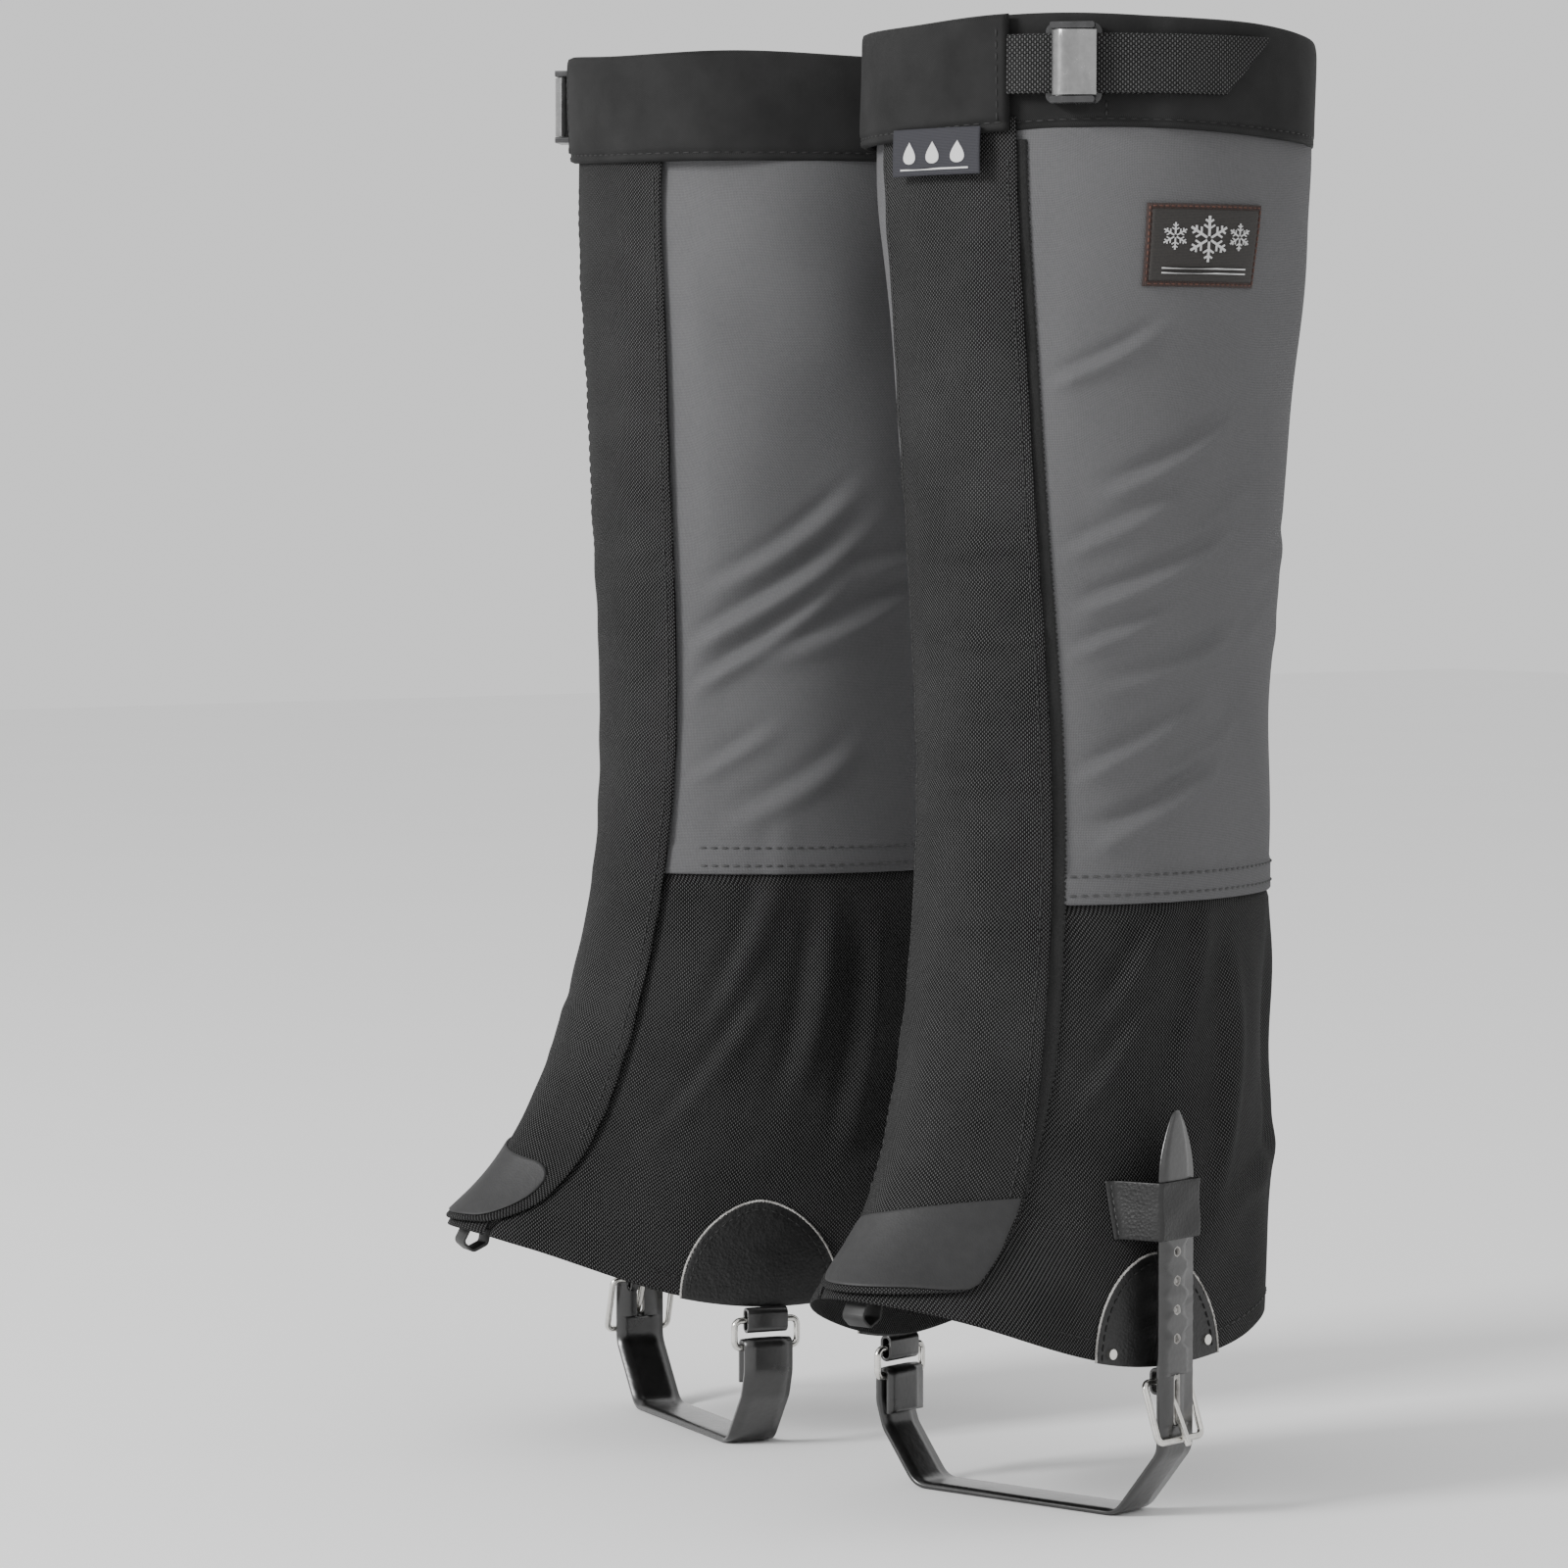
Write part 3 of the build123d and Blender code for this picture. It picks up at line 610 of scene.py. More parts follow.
# Pale cut edges; the same colour also paints the glint round the strap's holes.
CUT_EDGE_AND_GLINT = grained("cut_edge", (0.22, 0.21, 0.2), (0.6, 0.59, 0.57), 0.9, 1600, 0.0004)
NICKEL = moulded("nickel", (0.62, 0.61, 0.58), 0.16, 1.0)
BUCKLE_PLASTIC = moulded("buckle_plastic", (0.028, 0.028, 0.029), 0.2)
LEVER_PLASTIC = moulded("lever_plastic", grey(0.2), 0.2, metallic=0.6)
HOOK_ENAMEL = moulded("hook_enamel", grey(0.02), 0.35, metallic=0.3, scratch=0.2)
PILE = fuzzy("pile", grey(0.001), grey(0.018))


# ---------------------------------------------------------------- stitches
STITCH_SHARES = (0, 0.18, 0.5, 0.82, 1)
STITCH_FATNESS = (0.25, 0.9, 1.1, 0.9, 0.25)
TUBE_CORNERS = 6


def tube_faces(base, rings):
    """Faces of a closed tube whose rings of points start at an index."""
    faces = []
    for ring in range(rings - 1):
        low = base + ring * TUBE_CORNERS
        high = low + TUBE_CORNERS
        for corner in range(TUBE_CORNERS):
            following = (corner + 1) % TUBE_CORNERS
            faces.append((low + corner, low + following, high + following, high + corner))
    last = base + (rings - 1) * TUBE_CORNERS
    faces.append(tuple(base + corner for corner in reversed(range(TUBE_CORNERS))))
    faces.append(tuple(last + corner for corner in range(TUBE_CORNERS)))
    return faces


def thread_stitches(name, line, side, body, slot, material, stitch=0.0028, gap=0.0012, thick=0.00032):
    """A row of raised stitches along a line of points in the left gaiter's own frame."""
    line = np.asarray(line, float)
    steps = np.linalg.norm(np.diff(line, axis=0), axis=1)
    length = np.concatenate([[0], np.cumsum(steps)])
    points, faces = [], []
    start = gap
    while start + stitch < length[-1]:
        ends = [start + stitch * share for share in STITCH_SHARES]
        centres = np.array([[np.interp(e, length, line[:, k]) for k in range(3)] for e in ends])
        direction = Vector(centres[-1] - centres[0]).normalized()
        side_way = direction.orthogonal().normalized()
        other = direction.cross(side_way)
        base = len(points)
        for centre, fat in zip(centres, STITCH_FATNESS):
            for corner in range(TUBE_CORNERS):
                turn = corner * 2 * math.pi / TUBE_CORNERS
                spread = (side_way * math.cos(turn) + other * math.sin(turn)) * thick * fat
                points.append(np.array(centre) + np.array(spread))
        faces += tube_faces(base, len(STITCH_SHARES))
        start += stitch + gap
    piece = new_piece(name, points, faces, side)
    return finish_piece(piece, body, slot, material)


def sewn(side, name, line, slot, material, *sizes):
    """Stitches that stay with the gaiter."""
    return thread_stitches(f"{side}_{name}", line, side, f"{side}_gaiter", slot, material, *sizes)


# ---------------------------------------------------------------- places on one gaiter
def on_cloth(turn, height, growth, side):
    """A point of the creased cloth's outer face, grown outwards."""
    return on_leg(turn, height, growth + cloth_growth(turn, height, side))


SLIT_FROM_MEDIAL = 0.0076


def slit_turn(height):
    """The angle of the front opening, which lies under the flap."""
    return turn_at_x(flap_edge(height, MEDIAL_EDGE) + SLIT_FROM_MEDIAL, height)


def on_front(x, height, growth):
    """A point on the front of the leg at an x, grown outwards."""
    return on_leg(turn_at_x(x, height), height, growth)


def on_flank(along_y, height, growth, side, flank):
    """A point on the lateral (+1) or medial (-1) flank at a y."""
    return on_cloth(turn_at_y(along_y, height, flank), height, growth, side)


def edged(count, rim, length):
    """Fractions of a length in even steps, with one step of rim size at each end."""
    share = rim / length
    return np.concatenate([[0], np.linspace(share, 1 - share, count), [1]])


# ---------------------------------------------------------------- panels
SLIT_GAP = 0.02
HEM_FOLD, HEM_FOLD_TALL = 0.0006, 0.0105
HEM_STITCH_RISES = (0.0022, 0.0088)


def panel_place(side, low, high, extra):
    """Where a panel's cloth lies: from one side of the slit round the leg to the other."""
    def place(a, b, growth):
        round_share = a * (2 * math.pi - SLIT_GAP)
        turn = slit_turn(np.full_like(a, 0.15)) + round_share
        for _ in range(2):
            bottom = low(turn)
            height = bottom + (high - bottom) * b
            turn = slit_turn(height) + round_share
        return on_cloth(turn, height, growth + extra(height), side)
    return place


def upper_panel(side):
    """The grey cloth, its lower hem turned under and sewn down with two rows of stitches."""
    def hem_fold(height):
        return HEM_FOLD * np.clip((SEAM + HEM_FOLD_TALL - height) / 0.0015, 0, 1)

    place = panel_place(side, lambda turn: np.full_like(turn, SEAM - 0.001), PANEL_TOP + 0.007, hem_fold)
    sheet(f"{side}_upper_panel_cloth", side, (edged(430, 0.0006, 0.42), edged(190, 0.0006, 0.26)), place,
          (-0.0009, 0.0005), (f"{side}_gaiter", "ripstop_grey", GREY_CLOTH), (f"{side}_upper_panel",))
    for rise in HEM_STITCH_RISES:
        turn = np.linspace(math.radians(26), math.radians(325), 700)
        height = np.full_like(turn, SEAM + rise)
        line = on_cloth(turn, height, 0.0007 + hem_fold(height), side)
        sewn(side, f"upper_hem_stitches_{round(rise * 10000)}", line, "ripstop_grey", THREAD_GREY)


def lower_panel(side):
    """The coarse black cloth over the boot, tucked behind the grey one at the seam."""
    def tucked(height):
        return -0.0012 * np.clip((height - SEAM + 0.004) / 0.004, 0, 1)

    place = panel_place(side, hem_height, SEAM + 0.006, tucked)
    sheet(f"{side}_lower_panel_cloth", side, (edged(430, 0.0006, 0.5), edged(130, 0.0006, 0.16)), place,
          (-0.0012, 0.0002), (f"{side}_gaiter", "cordura_black", BLACK_CLOTH), (f"{side}_lower_panel",))
    turn = np.linspace(math.radians(30), math.radians(328), 900)
    line = on_cloth(turn, hem_height(turn) + 0.007, 0.0003, side)
    sewn(side, "lower_hem_stitches", line, "cordura_black", THREAD_BLACK)


# ---------------------------------------------------------------- collar
COLLAR_END = math.radians(16)
TOP_LAYER_TO = math.radians(-40)
BASE_FROM = math.radians(-66)
COLLAR_UNDER = math.radians(-388)
BASE_RADIUS, BASE_HALF = 0.076, 0.0015
TOP_RADIUS, TOP_HALF = 0.0804, 0.0025
COLLAR_STITCH_SHARE = 0.075


def collar_middle(turn):
    """The collar's middle radius and half thickness along its spiral from the overlapping end."""
    top = smooth_step(turn, BASE_FROM, TOP_LAYER_TO)
    round_back = turn + 2 * math.pi
    padding = smooth_step(round_back, math.radians(50), math.radians(58))
    padding = padding * (1 - smooth_step(round_back, math.radians(96), math.radians(125)))
    radius = BASE_RADIUS + (TOP_RADIUS - BASE_RADIUS) * top + 0.0012 * padding
    return radius, BASE_HALF + (TOP_HALF - BASE_HALF) * top + 0.0012 * padding


def on_collar(turn, height, share):
    """A point of the collar; share is -1 on its inner face and 1 on its outer face."""
    radius, half = collar_middle(turn)
    slump = 0.0004 * np.sin(3 * turn + 1) * np.sin(height * 90) + 0.0003 * np.sin(11 * turn)
    return around(turn, radius + half * share + slump, height)


def near(turn, middle, width):
    """A smooth bump round the leg, 1 at its middle angle and fading over its width, in degrees."""
    away = np.angle(np.exp(1j * (turn - math.radians(middle))))
    return np.exp(-(away / math.radians(width)) ** 2)


def collar_height(turn, share):
    """The collar's height: its seam and rim rise over the lateral shin, and its rim sinks behind."""
    seam = COLLAR_LOW - 0.0006 + 0.0035 * near(turn, 42, 42)
    rim = COLLAR_HIGH + 0.0022 * near(turn, 38, 40) - 0.0045 * near(turn, 138, 45)
    rim = rim + 0.0005 * np.sin(5 * turn) - 0.002 * near(turn, -120, 50)
    return seam + (rim - seam) * share


def collar(side):
    """The padded band in a spiral: its overlapping end lies on top, over the flap."""
    def place(a, b, growth):
        turn = COLLAR_END + (COLLAR_UNDER - COLLAR_END) * (1 - a)
        roundness = np.sqrt(np.clip(1 - np.abs(2 * b - 1) ** 14, 0, 1)) * 0.65 + 0.35
        seam_pull = 1 - 0.35 * np.exp(-((b - COLLAR_STITCH_SHARE) / 0.02) ** 2)
        return on_collar(turn, collar_height(turn, b), growth * roundness * seam_pull)

    sheet(f"{side}_collar_cloth", side, (edged(520, 0.0008, 0.54), edged(34, 0.0007, 0.039)), place, (-1, 1),
          (f"{side}_gaiter", "collar_twill", COLLAR_CLOTH), (f"{side}_collar", f"{side}_collar_end"))
    turn = np.linspace(COLLAR_END - 0.01, COLLAR_UNDER + math.radians(34), 1200)
    line = on_collar(turn, collar_height(turn, np.full_like(turn, COLLAR_STITCH_SHARE)), 0.68)
    sewn(side, "collar_seam_stitches", line, "collar_twill", THREAD_BLACK)
    end_turn = np.full(60, COLLAR_END - math.radians(2.4))
    line = on_collar(end_turn, collar_height(end_turn, np.linspace(0.06, 0.95, 60)), 1.02)
    sewn(side, "collar_end_stitches", line, "collar_twill", THREAD_BLACK)
    tack_turn = np.full(20, math.radians(-360 + 40))
    line = on_collar(tack_turn, collar_height(tack_turn, np.linspace(0.08, 0.26, 20)), 1.05)
    sewn(side, "collar_tack", line, "collar_twill", THREAD_BLACK, 0.0022, 0.0006, 0.0004)


# ---------------------------------------------------------------- webbing
STRAP_RADIUS, ANCHOR_RADIUS = 0.0811, 0.0777
WEBBING_LOW, WEBBING_HIGH = 0.486, 0.506
WEBBING_THICK = 0.0012
STRAP_FROM, STRAP_TO, STRAP_CUT = (math.radians(degrees) for degrees in (4, 84, 14))
ANCHOR_FROM, ANCHOR_LONG = math.radians(27), math.radians(23)


def collar_strap(side):
    """The webbing through the buckle, its tail cut at an angle."""
    def place(a, b, growth):
        turn = STRAP_FROM + a * (STRAP_TO - STRAP_FROM - STRAP_CUT * (1 - b))
        return around(turn, STRAP_RADIUS + growth, WEBBING_LOW + (WEBBING_HIGH - WEBBING_LOW) * b)

    sheet(f"{side}_collar_strap_webbing", side, (edged(110, 0.0004, 0.11), edged(16, 0.0004, 0.02)), place,
          (0, WEBBING_THICK), (f"{side}_collar_strap", "webbing_black", WEBBING_CLOTH),
          (f"{side}_collar_strap",), anchor=0)


def buckle_anchor(side):
    """The short webbing, sewn to the collar, that holds the cam buckle."""
    def place(a, b, growth):
        turn = ANCHOR_FROM + a * ANCHOR_LONG
        return around(turn, ANCHOR_RADIUS + growth, WEBBING_LOW + (WEBBING_HIGH - WEBBING_LOW) * b)

    sheet(f"{side}_buckle_anchor_webbing", side, (edged(30, 0.0004, 0.031), edged(12, 0.0004, 0.02)), place,
          (0, WEBBING_THICK), (f"{side}_gaiter", "webbing_black", WEBBING_CLOTH), (f"{side}_buckle_anchor",))


# ---------------------------------------------------------------- flap and its tapes
FLAP_TOP = 0.4785
FLAP_INNER, FLAP_OUTER = 0.0021, 0.0033
MEDIAL_CORNER, LATERAL_CORNER = 0.009, 0.003
TAPE_TOP = 0.471


def bend_with_flap(piece):
    """Bakes a piece's placement into its mesh."""
    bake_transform(piece)


def corner_inset(rise, radius):
    """How far a rounded corner draws an edge in at a rise above the corner's foot."""
    left = np.clip(radius - rise, 0, radius)
    return radius - np.sqrt(radius ** 2 - left ** 2)


def flap_x(a, height):
    """The x of a point of the flap, from its medial (0) to its lateral (1) edge."""
    rise = height - TAB_TIP
    medial = flap_edge(height, MEDIAL_EDGE) + corner_inset(rise, MEDIAL_CORNER)
    lateral = flap_edge(height, LATERAL_EDGE) - corner_inset(rise, LATERAL_CORNER)
    return medial + (lateral - medial) * a


FLAP_CREASES = {
    # height (mm), where across (0 medial, 1 lateral), half length, rise, width (mm), depth (mm)
    "left": (
        (333, 0.72, 0.28, 5, 2.6, 0.9), (322, 0.55, 0.3, -3, 2.8, 0.8), (301, 0.72, 0.3, 6, 2.8, 1.0),
        (293, 0.38, 0.26, -4, 2.6, 0.8), (277, 0.7, 0.26, 5, 2.6, 0.7), (252, 0.62, 0.34, 4, 3.0, 0.9),
        (241, 0.35, 0.28, -2, 2.6, 0.6), (205, 0.6, 0.3, 5, 3.0, 0.7), (392, 0.6, 0.3, 3, 3.2, 0.5),
        (168, 0.45, 0.34, 3, 3.4, 0.6), (140, 0.5, 0.34, 0, 3.4, 0.5),
    ),
    "right": (
        (330, 0.3, 0.28, 3, 3.0, 0.6), (318, 0.36, 0.3, -3, 2.8, 0.7), (262, 0.35, 0.3, 4, 3.0, 0.6),
        (212, 0.4, 0.3, -4, 3.0, 0.6), (158, 0.4, 0.34, 3, 3.4, 0.7), (144, 0.3, 0.3, -2, 3.0, 0.6),
    ),
}


def flap_lift(a, height, side):
    """The flap's unevenness: short creases across it, and edges that lift a little."""
    lift = 0.00025 * np.sin(height * 260) * np.sin(a * 5 + height * 30)
    lift = lift + 0.0003 * np.sin(height * 75 + 1.3) * (a - 0.4)
    for at, across, half_length, rise, width, depth in FLAP_CREASES[side]:
        beside = height * 1000 - at - rise * (a - across)
        reach = np.exp(-((a - across) / half_length) ** 4)
        lift = lift + depth * reach * ridge(beside, width) * MM
    return lift


def flap(side):
    """The straight black strip over the opening, with a row of stitches along each edge."""
    def place(a, b, growth):
        height = TAB_TIP + (FLAP_TOP - TAB_TIP) * b
        return on_front(flap_x(a, height), height, growth + flap_lift(a, height, side))

    cloth = sheet(f"{side}_flap_cloth", side, (edged(40, 0.0005, 0.06), edged(300, 0.0005, 0.4)), place,
                  (FLAP_INNER, FLAP_OUTER), (None, "cordura_black", BLACK_CLOTH),
                  (f"{side}_front_flap", f"{side}_toe_flap"))
    bend_with_flap(cloth)
    height = np.linspace(0.112, 0.468, 900)
    for name, share in (("lateral", 0.955), ("medial", 0.04)):
        x = flap_x(np.full_like(height, share), height)
        line = on_front(x, height, FLAP_OUTER + 0.00005 + flap_lift(share, height, side))
        name = f"{side}_flap_{name}_stitches"
        thread = thread_stitches(name, line, side, None, "cordura_black", THREAD_BLACK)
        bend_with_flap(thread)


def tape(side, name, inner, outer, shift_low, shift_high, replaced, bends):
    """Hook-and-loop tape, its edges at two shifts from the flap's lateral edge."""
    low = TAB_TIP + 0.014

    def place(a, b, growth):
        height = low + (TAPE_TOP - low) * b
        ragged = 0.00035 * np.sin(height * 5200 + 3 * np.sin(height * 900)) * (a > 0.999)
        shown = shift_high * smooth_step(height, 0.104, 0.17) if shift_high > 0 else shift_high
        x = flap_edge(height, LATERAL_EDGE) + shift_low + (shown - shift_low) * a + ragged
        return on_front(x, height, growth)

    body = None if bends else f"{side}_gaiter"
    piece = sheet(f"{side}_{name}_pile", side, (edged(14, 0.0004, 0.025), edged(700, 0.0004, 0.39)), place,
                  (inner, outer), (body, "hook_and_loop", PILE), replaced)
    if bends:
        bend_with_flap(piece)


def toe_patch(side):
    """The rubberised patch on the tab: rounded towards medial, folded over the lateral edge."""
    def place(a, b, growth):
        from_medial = a * 0.052
        high = TAB_TIP + 0.029 - 0.009 * (1 - a) ** 1.6 - corner_inset(from_medial, 0.007)
        low = TAB_TIP + 0.0022 + corner_inset(from_medial, 0.009) - 0.0014 * smooth_step(a, 0.7, 1.0)
        height = low + (high - low) * b
        medial = flap_edge(height, MEDIAL_EDGE) + 0.0035
        lateral = flap_edge(height, LATERAL_EDGE) - 0.0002 - corner_inset(height - TAB_TIP, 0.003)
        rolled = -0.0008 * np.clip((a - 0.90) / 0.10, 0, 1) ** 2
        return on_front(medial + (lateral - medial) * a, height, growth + rolled)

    sheet(f"{side}_toe_patch_rubber", side, (edged(64, 0.0003, 0.055), edged(34, 0.0003, 0.026)), place,
          (0.0032, 0.0044), (f"{side}_toe_flap", "toe_rubber", TOE_RUBBER), (f"{side}_toe_patch",))


# ---------------------------------------------------------------- labels
FRONT_LABEL_TURN = math.radians(-4)
FRONT_LABEL_WIDTH, FRONT_LABEL_DROP = 0.040, 0.016
FRONT_LABEL_TOP = 0.4755
FRONT_LABEL_RADIUS = 0.0827


def on_front_label(x, down, growth):
    """A point of the front label; x from its middle, down from its top edge."""
    curl = 4.0 * x ** 2 - 0.0004 * np.sin(down * 150)
    out = FRONT_LABEL_RADIUS + growth - curl
    turn_sin, turn_cos = math.sin(FRONT_LABEL_TURN), math.cos(FRONT_LABEL_TURN)
    own_x = out * turn_sin + x * turn_cos
    own_y = -out * turn_cos + x * turn_sin
    return np.stack([own_x, own_y, FRONT_LABEL_TOP - down], axis=-1)


def prism(outlines, place, inner, outer):
    """Flat shapes raised off a surface: each outline's points, joined by walls."""
    points, faces = [], []
    for outline in outlines:
        flat = np.asarray(outline, float)
        count, base = len(flat), len(points)
        points += list(place(flat[:, 0], flat[:, 1], np.full(count, outer)))
        points += list(place(flat[:, 0], flat[:, 1], np.full(count, inner)))
        faces.append(tuple(base + i for i in range(count)))
        faces.append(tuple(base + count + i for i in reversed(range(count))))
        for i in range(count):
            following = (i + 1) % count
            faces.append((base + i, base + count + i, base + count + following, base + following))
    return points, faces


def drop_outline(x, y, size):
    """A water drop with its point up; y counts upwards."""
    turns = np.linspace(0, 2 * math.pi, 36, endpoint=False)
    width = size * 0.55 * np.sin(turns) * np.sin(turns / 2) ** 1.4
    return [(x + w, y + size * 0.5 * math.cos(t)) for w, t in zip(width, turns)][::-1]


def bar_outline(start, end, thick):
    """A thin straight bar between two points."""
    start, end = np.array(start), np.array(end)
    along = (end - start) / np.linalg.norm(end - start)
    aside = np.array([-along[1], along[0]]) * thick / 2
    shares = np.linspace(0, 1, 14)
    there = [start + (end - start) * share - aside for share in shares]
    return there + [start + (end - start) * share + aside for share in shares[::-1]]


def front_label(side):
    """A woven label sewn in under the collar, with three drops over a line."""
    def place(a, b, growth):
        return on_front_label((a - 0.5) * FRONT_LABEL_WIDTH, FRONT_LABEL_DROP * (1 - b), growth)

    sheet(f"{side}_front_label_cloth", side, (edged(40, 0.0003, 0.04), edged(18, 0.0003, 0.016)), place,
          (0.0, 0.0007), (f"{side}_front_label", "label_woven", LABEL_CLOTH), (f"{side}_front_label",))
    drops = [drop_outline(x, -0.0082, 0.0075) for x in (-0.011, 0.0, 0.011)]
    drops.append(bar_outline((-0.0155, -0.0138), (0.0155, -0.0138), 0.0006))
    points, faces = prism(drops, lambda x, y, g: on_front_label(x, -y, g), 0.0005, 0.0009)
    motif = new_piece(f"{side}_front_label_drops", points, faces, side, smooth=False)
    finish_piece(motif, f"{side}_front_label", "label_woven", THREAD_WHITE)


SIDE_LABEL_WIDTH, SIDE_LABEL_TALL = 0.045, 0.028
SIDE_LABEL_BORDER = 0.0018
SIDE_LABEL_TURN = math.radians(68)
SIDE_LABEL_HEIGHT = 0.4355


def on_side_label(side):
    """A place on the side label: x and y from its middle."""
    def place(x, y, growth):
        height = SIDE_LABEL_HEIGHT + y
        turn = SIDE_LABEL_TURN + x / leg_radius(np.full_like(x, SIDE_LABEL_TURN), height)
        return on_cloth(turn, height, growth, side)
    return place


def snowflake(size, middle=(0.0, 0.0)):
    """Six arms with two pairs of twigs each."""
    middle = np.array(middle)
    outlines = []
    for arm in range(6):
        turn = arm * math.pi / 3 + math.pi / 6
        out = np.array([math.cos(turn), math.sin(turn)])
        outlines.append(bar_outline(middle + out * size * 0.12, middle + out * size, size * 0.1))
        for place, twig in ((0.45, 0.3), (0.72, 0.22)):
            for lean in (-1, 1):
                away = turn + lean * math.pi / 3
                foot = middle + out * size * place
                tip = foot + np.array([math.cos(away), math.sin(away)]) * size * twig
                outlines.append(bar_outline(foot, tip, size * 0.08))
    return outlines


def side_label(side):
    """A bordered label sewn on the grey cloth, with three snowflakes over two lines."""
    on_label = on_side_label(side)

    def area(width, tall):
        return lambda a, b, growth: on_label((a - 0.5) * width, (b - 0.5) * tall, growth)

    grid = edged(44, 0.0003, 0.045), edged(28, 0.0003, 0.028)
    sheet(f"{side}_side_label_backing", side, grid, area(SIDE_LABEL_WIDTH, SIDE_LABEL_TALL), (0.0006, 0.0017),
          (f"{side}_gaiter", "label_woven", LABEL_BROWN), (f"{side}_side_label",))
    centre = area(SIDE_LABEL_WIDTH - 2 * SIDE_LABEL_BORDER, SIDE_LABEL_TALL - 2 * SIDE_LABEL_BORDER)
    sheet(f"{side}_side_label_face", side, grid, centre, (0.0014, 0.0021),
          (f"{side}_gaiter", "label_woven", LABEL_DARK))
    shapes = snowflake(0.0078, (0.0, 0.0022)) + snowflake(0.0046, (-0.0125, 0.0030))
    shapes += snowflake(0.0046, (0.0125, 0.0030))
    shapes += [bar_outline((-0.0165, y), (0.0165, y), 0.0005) for y in (-0.0078, -0.0094)]
    points, faces = prism(shapes, on_label, 0.0018, 0.0025)
    motif = new_piece(f"{side}_side_label_snowflake", points, faces, side, smooth=False)
    finish_piece(motif, f"{side}_gaiter", "label_woven", THREAD_WHITE)
    hem_x, hem_y = (size / 2 - SIDE_LABEL_BORDER / 2 for size in (SIDE_LABEL_WIDTH, SIDE_LABEL_TALL))
    corners = [(-hem_x, -hem_y), (hem_x, -hem_y), (hem_x, hem_y), (-hem_x, hem_y), (-hem_x, -hem_y)]
    shares = np.linspace(0, 4, 400)
    x = np.interp(shares, range(5), [corner[0] for corner in corners])
    y = np.interp(shares, range(5), [corner[1] for corner in corners])
    sewn(side, "side_label_stitches", on_label(x, y, 0.0018), "label_woven", THREAD_BROWN,
         0.0016, 0.0006, 0.00028)


# ---------------------------------------------------------------- half-moon patches
PATCH_HALF = 0.030
PATCH_TOP = 0.091


def half_moon_point(a, b, side, flank, growth, grow=0.0):
    """A point of a half-moon patch; a along its foot from back to front, b up to its apex."""
    rise = b * math.pi / 2 * 0.985
    narrowed = np.cos(rise) ** 1.15
    y = STRAP_Y + flank * (a - 0.5) * 2 * (PATCH_HALF + grow) * narrowed
    foot = hem_height(turn_at_y(y, np.full_like(y, 0.06), flank)) - 0.0006
    height = foot + (PATCH_TOP + grow - foot) * np.sin(rise)
    return on_flank(y, height, growth, side, flank)


def half_moon(side, flank, name):
    """A half-moon patch with a pale cut edge and a row of stitches inside it."""
    def place(a, b, growth):
        return half_moon_point(a, b, side, flank, growth)

    sheet(f"{side}_{name}_patch_leather", side, (edged(46, 0.0003, 0.06), edged(34, 0.0003, 0.037)), place,
          (0.0003, 0.0012), (f"{side}_gaiter", "patch_leather", PATCH_LEATHER), (f"{side}_{name}_patch",))
    arch = np.concatenate([np.linspace(0, 0.999, 260), np.linspace(0.999, 0, 260)])
    half = np.concatenate([np.zeros(260), np.ones(260)])
    line = half_moon_point(half, arch, side, flank, 0.0010, 0.0003)
    cut_edge(f"{side}_{name}_patch_edge", line, side)
    inset = half_moon_point(half, arch, side, flank, 0.0014, -0.0028)
    sewn(side, f"{name}_patch_stitches", inset, "patch_leather", THREAD_BLACK, 0.0024, 0.001, 0.0003)


def cut_edge(name, line, side):
    """A thin ragged bead of pale fibres along a cut edge."""
    generator = np.random.default_rng(len(name))
    points = []
    ways = np.gradient(line, axis=0)
    ways /= np.linalg.norm(ways, axis=1)[:, None] + 1e-9
    for place, way in zip(line, ways):
        out = np.cross(way, (0.0, 0.0, 1.0))
        out /= np.linalg.norm(out) + 1e-9
        up = np.cross(out, way)
        for corner in range(TUBE_CORNERS):
            turn = corner * 2 * math.pi / TUBE_CORNERS
            fat = 0.00042 * generator.uniform(0.6, 1.35)
            points.append(place + (out * math.cos(turn) + up * math.sin(turn)) * fat)
    piece = new_piece(name, points, tube_faces(0, len(line)), side)
    return finish_piece(piece, f"{side}_gaiter", "patch_leather", CUT_EDGE_AND_GLINT)


# ---------------------------------------------------------------- keeper and strap
KEEPER_LOW, KEEPER_HIGH = 0.097, 0.117
KEEPER_HALF = 0.017
KEEPER_OUT = 0.0644


def keeper(side):
    """A leather loop sewn down at both ends, standing off to let the strap through."""
    def place(a, b, growth):
        across = (a - 0.5) * 2 * KEEPER_HALF
        y = STRAP_Y + across
        height = KEEPER_LOW + (KEEPER_HIGH - KEEPER_LOW) * b
        flat = on_flank(y, height, 0.0009, side, 1)[..., 0]
        over = 1 - smooth_step(np.abs(across), 0.0105, 0.0150)
        x = flat * (1 - over) + KEEPER_OUT * over + growth
        x = x + 0.0003 * np.sin(a * 9) * np.sin(b * 7)
        return np.stack([x, y, height], axis=-1)

    sheet(f"{side}_keeper_leather", side, (edged(64, 0.0003, 0.034), edged(26, 0.0003, 0.02)), place,
          (-0.0005, 0.0006), (f"{side}_gaiter", "strap_leather", PATCH_LEATHER), (f"{side}_keeper",))
    for name, share in (("front", 0.045), ("back", 0.955)):
        b = np.linspace(0.04, 0.96, 60)
        line = place(np.full_like(b, share), b, np.full_like(b, 0.0007))
        sewn(side, f"keeper_{name}_stitches", line, "strap_leather", THREAD_GREY, 0.0018, 0.0008, 0.00028)


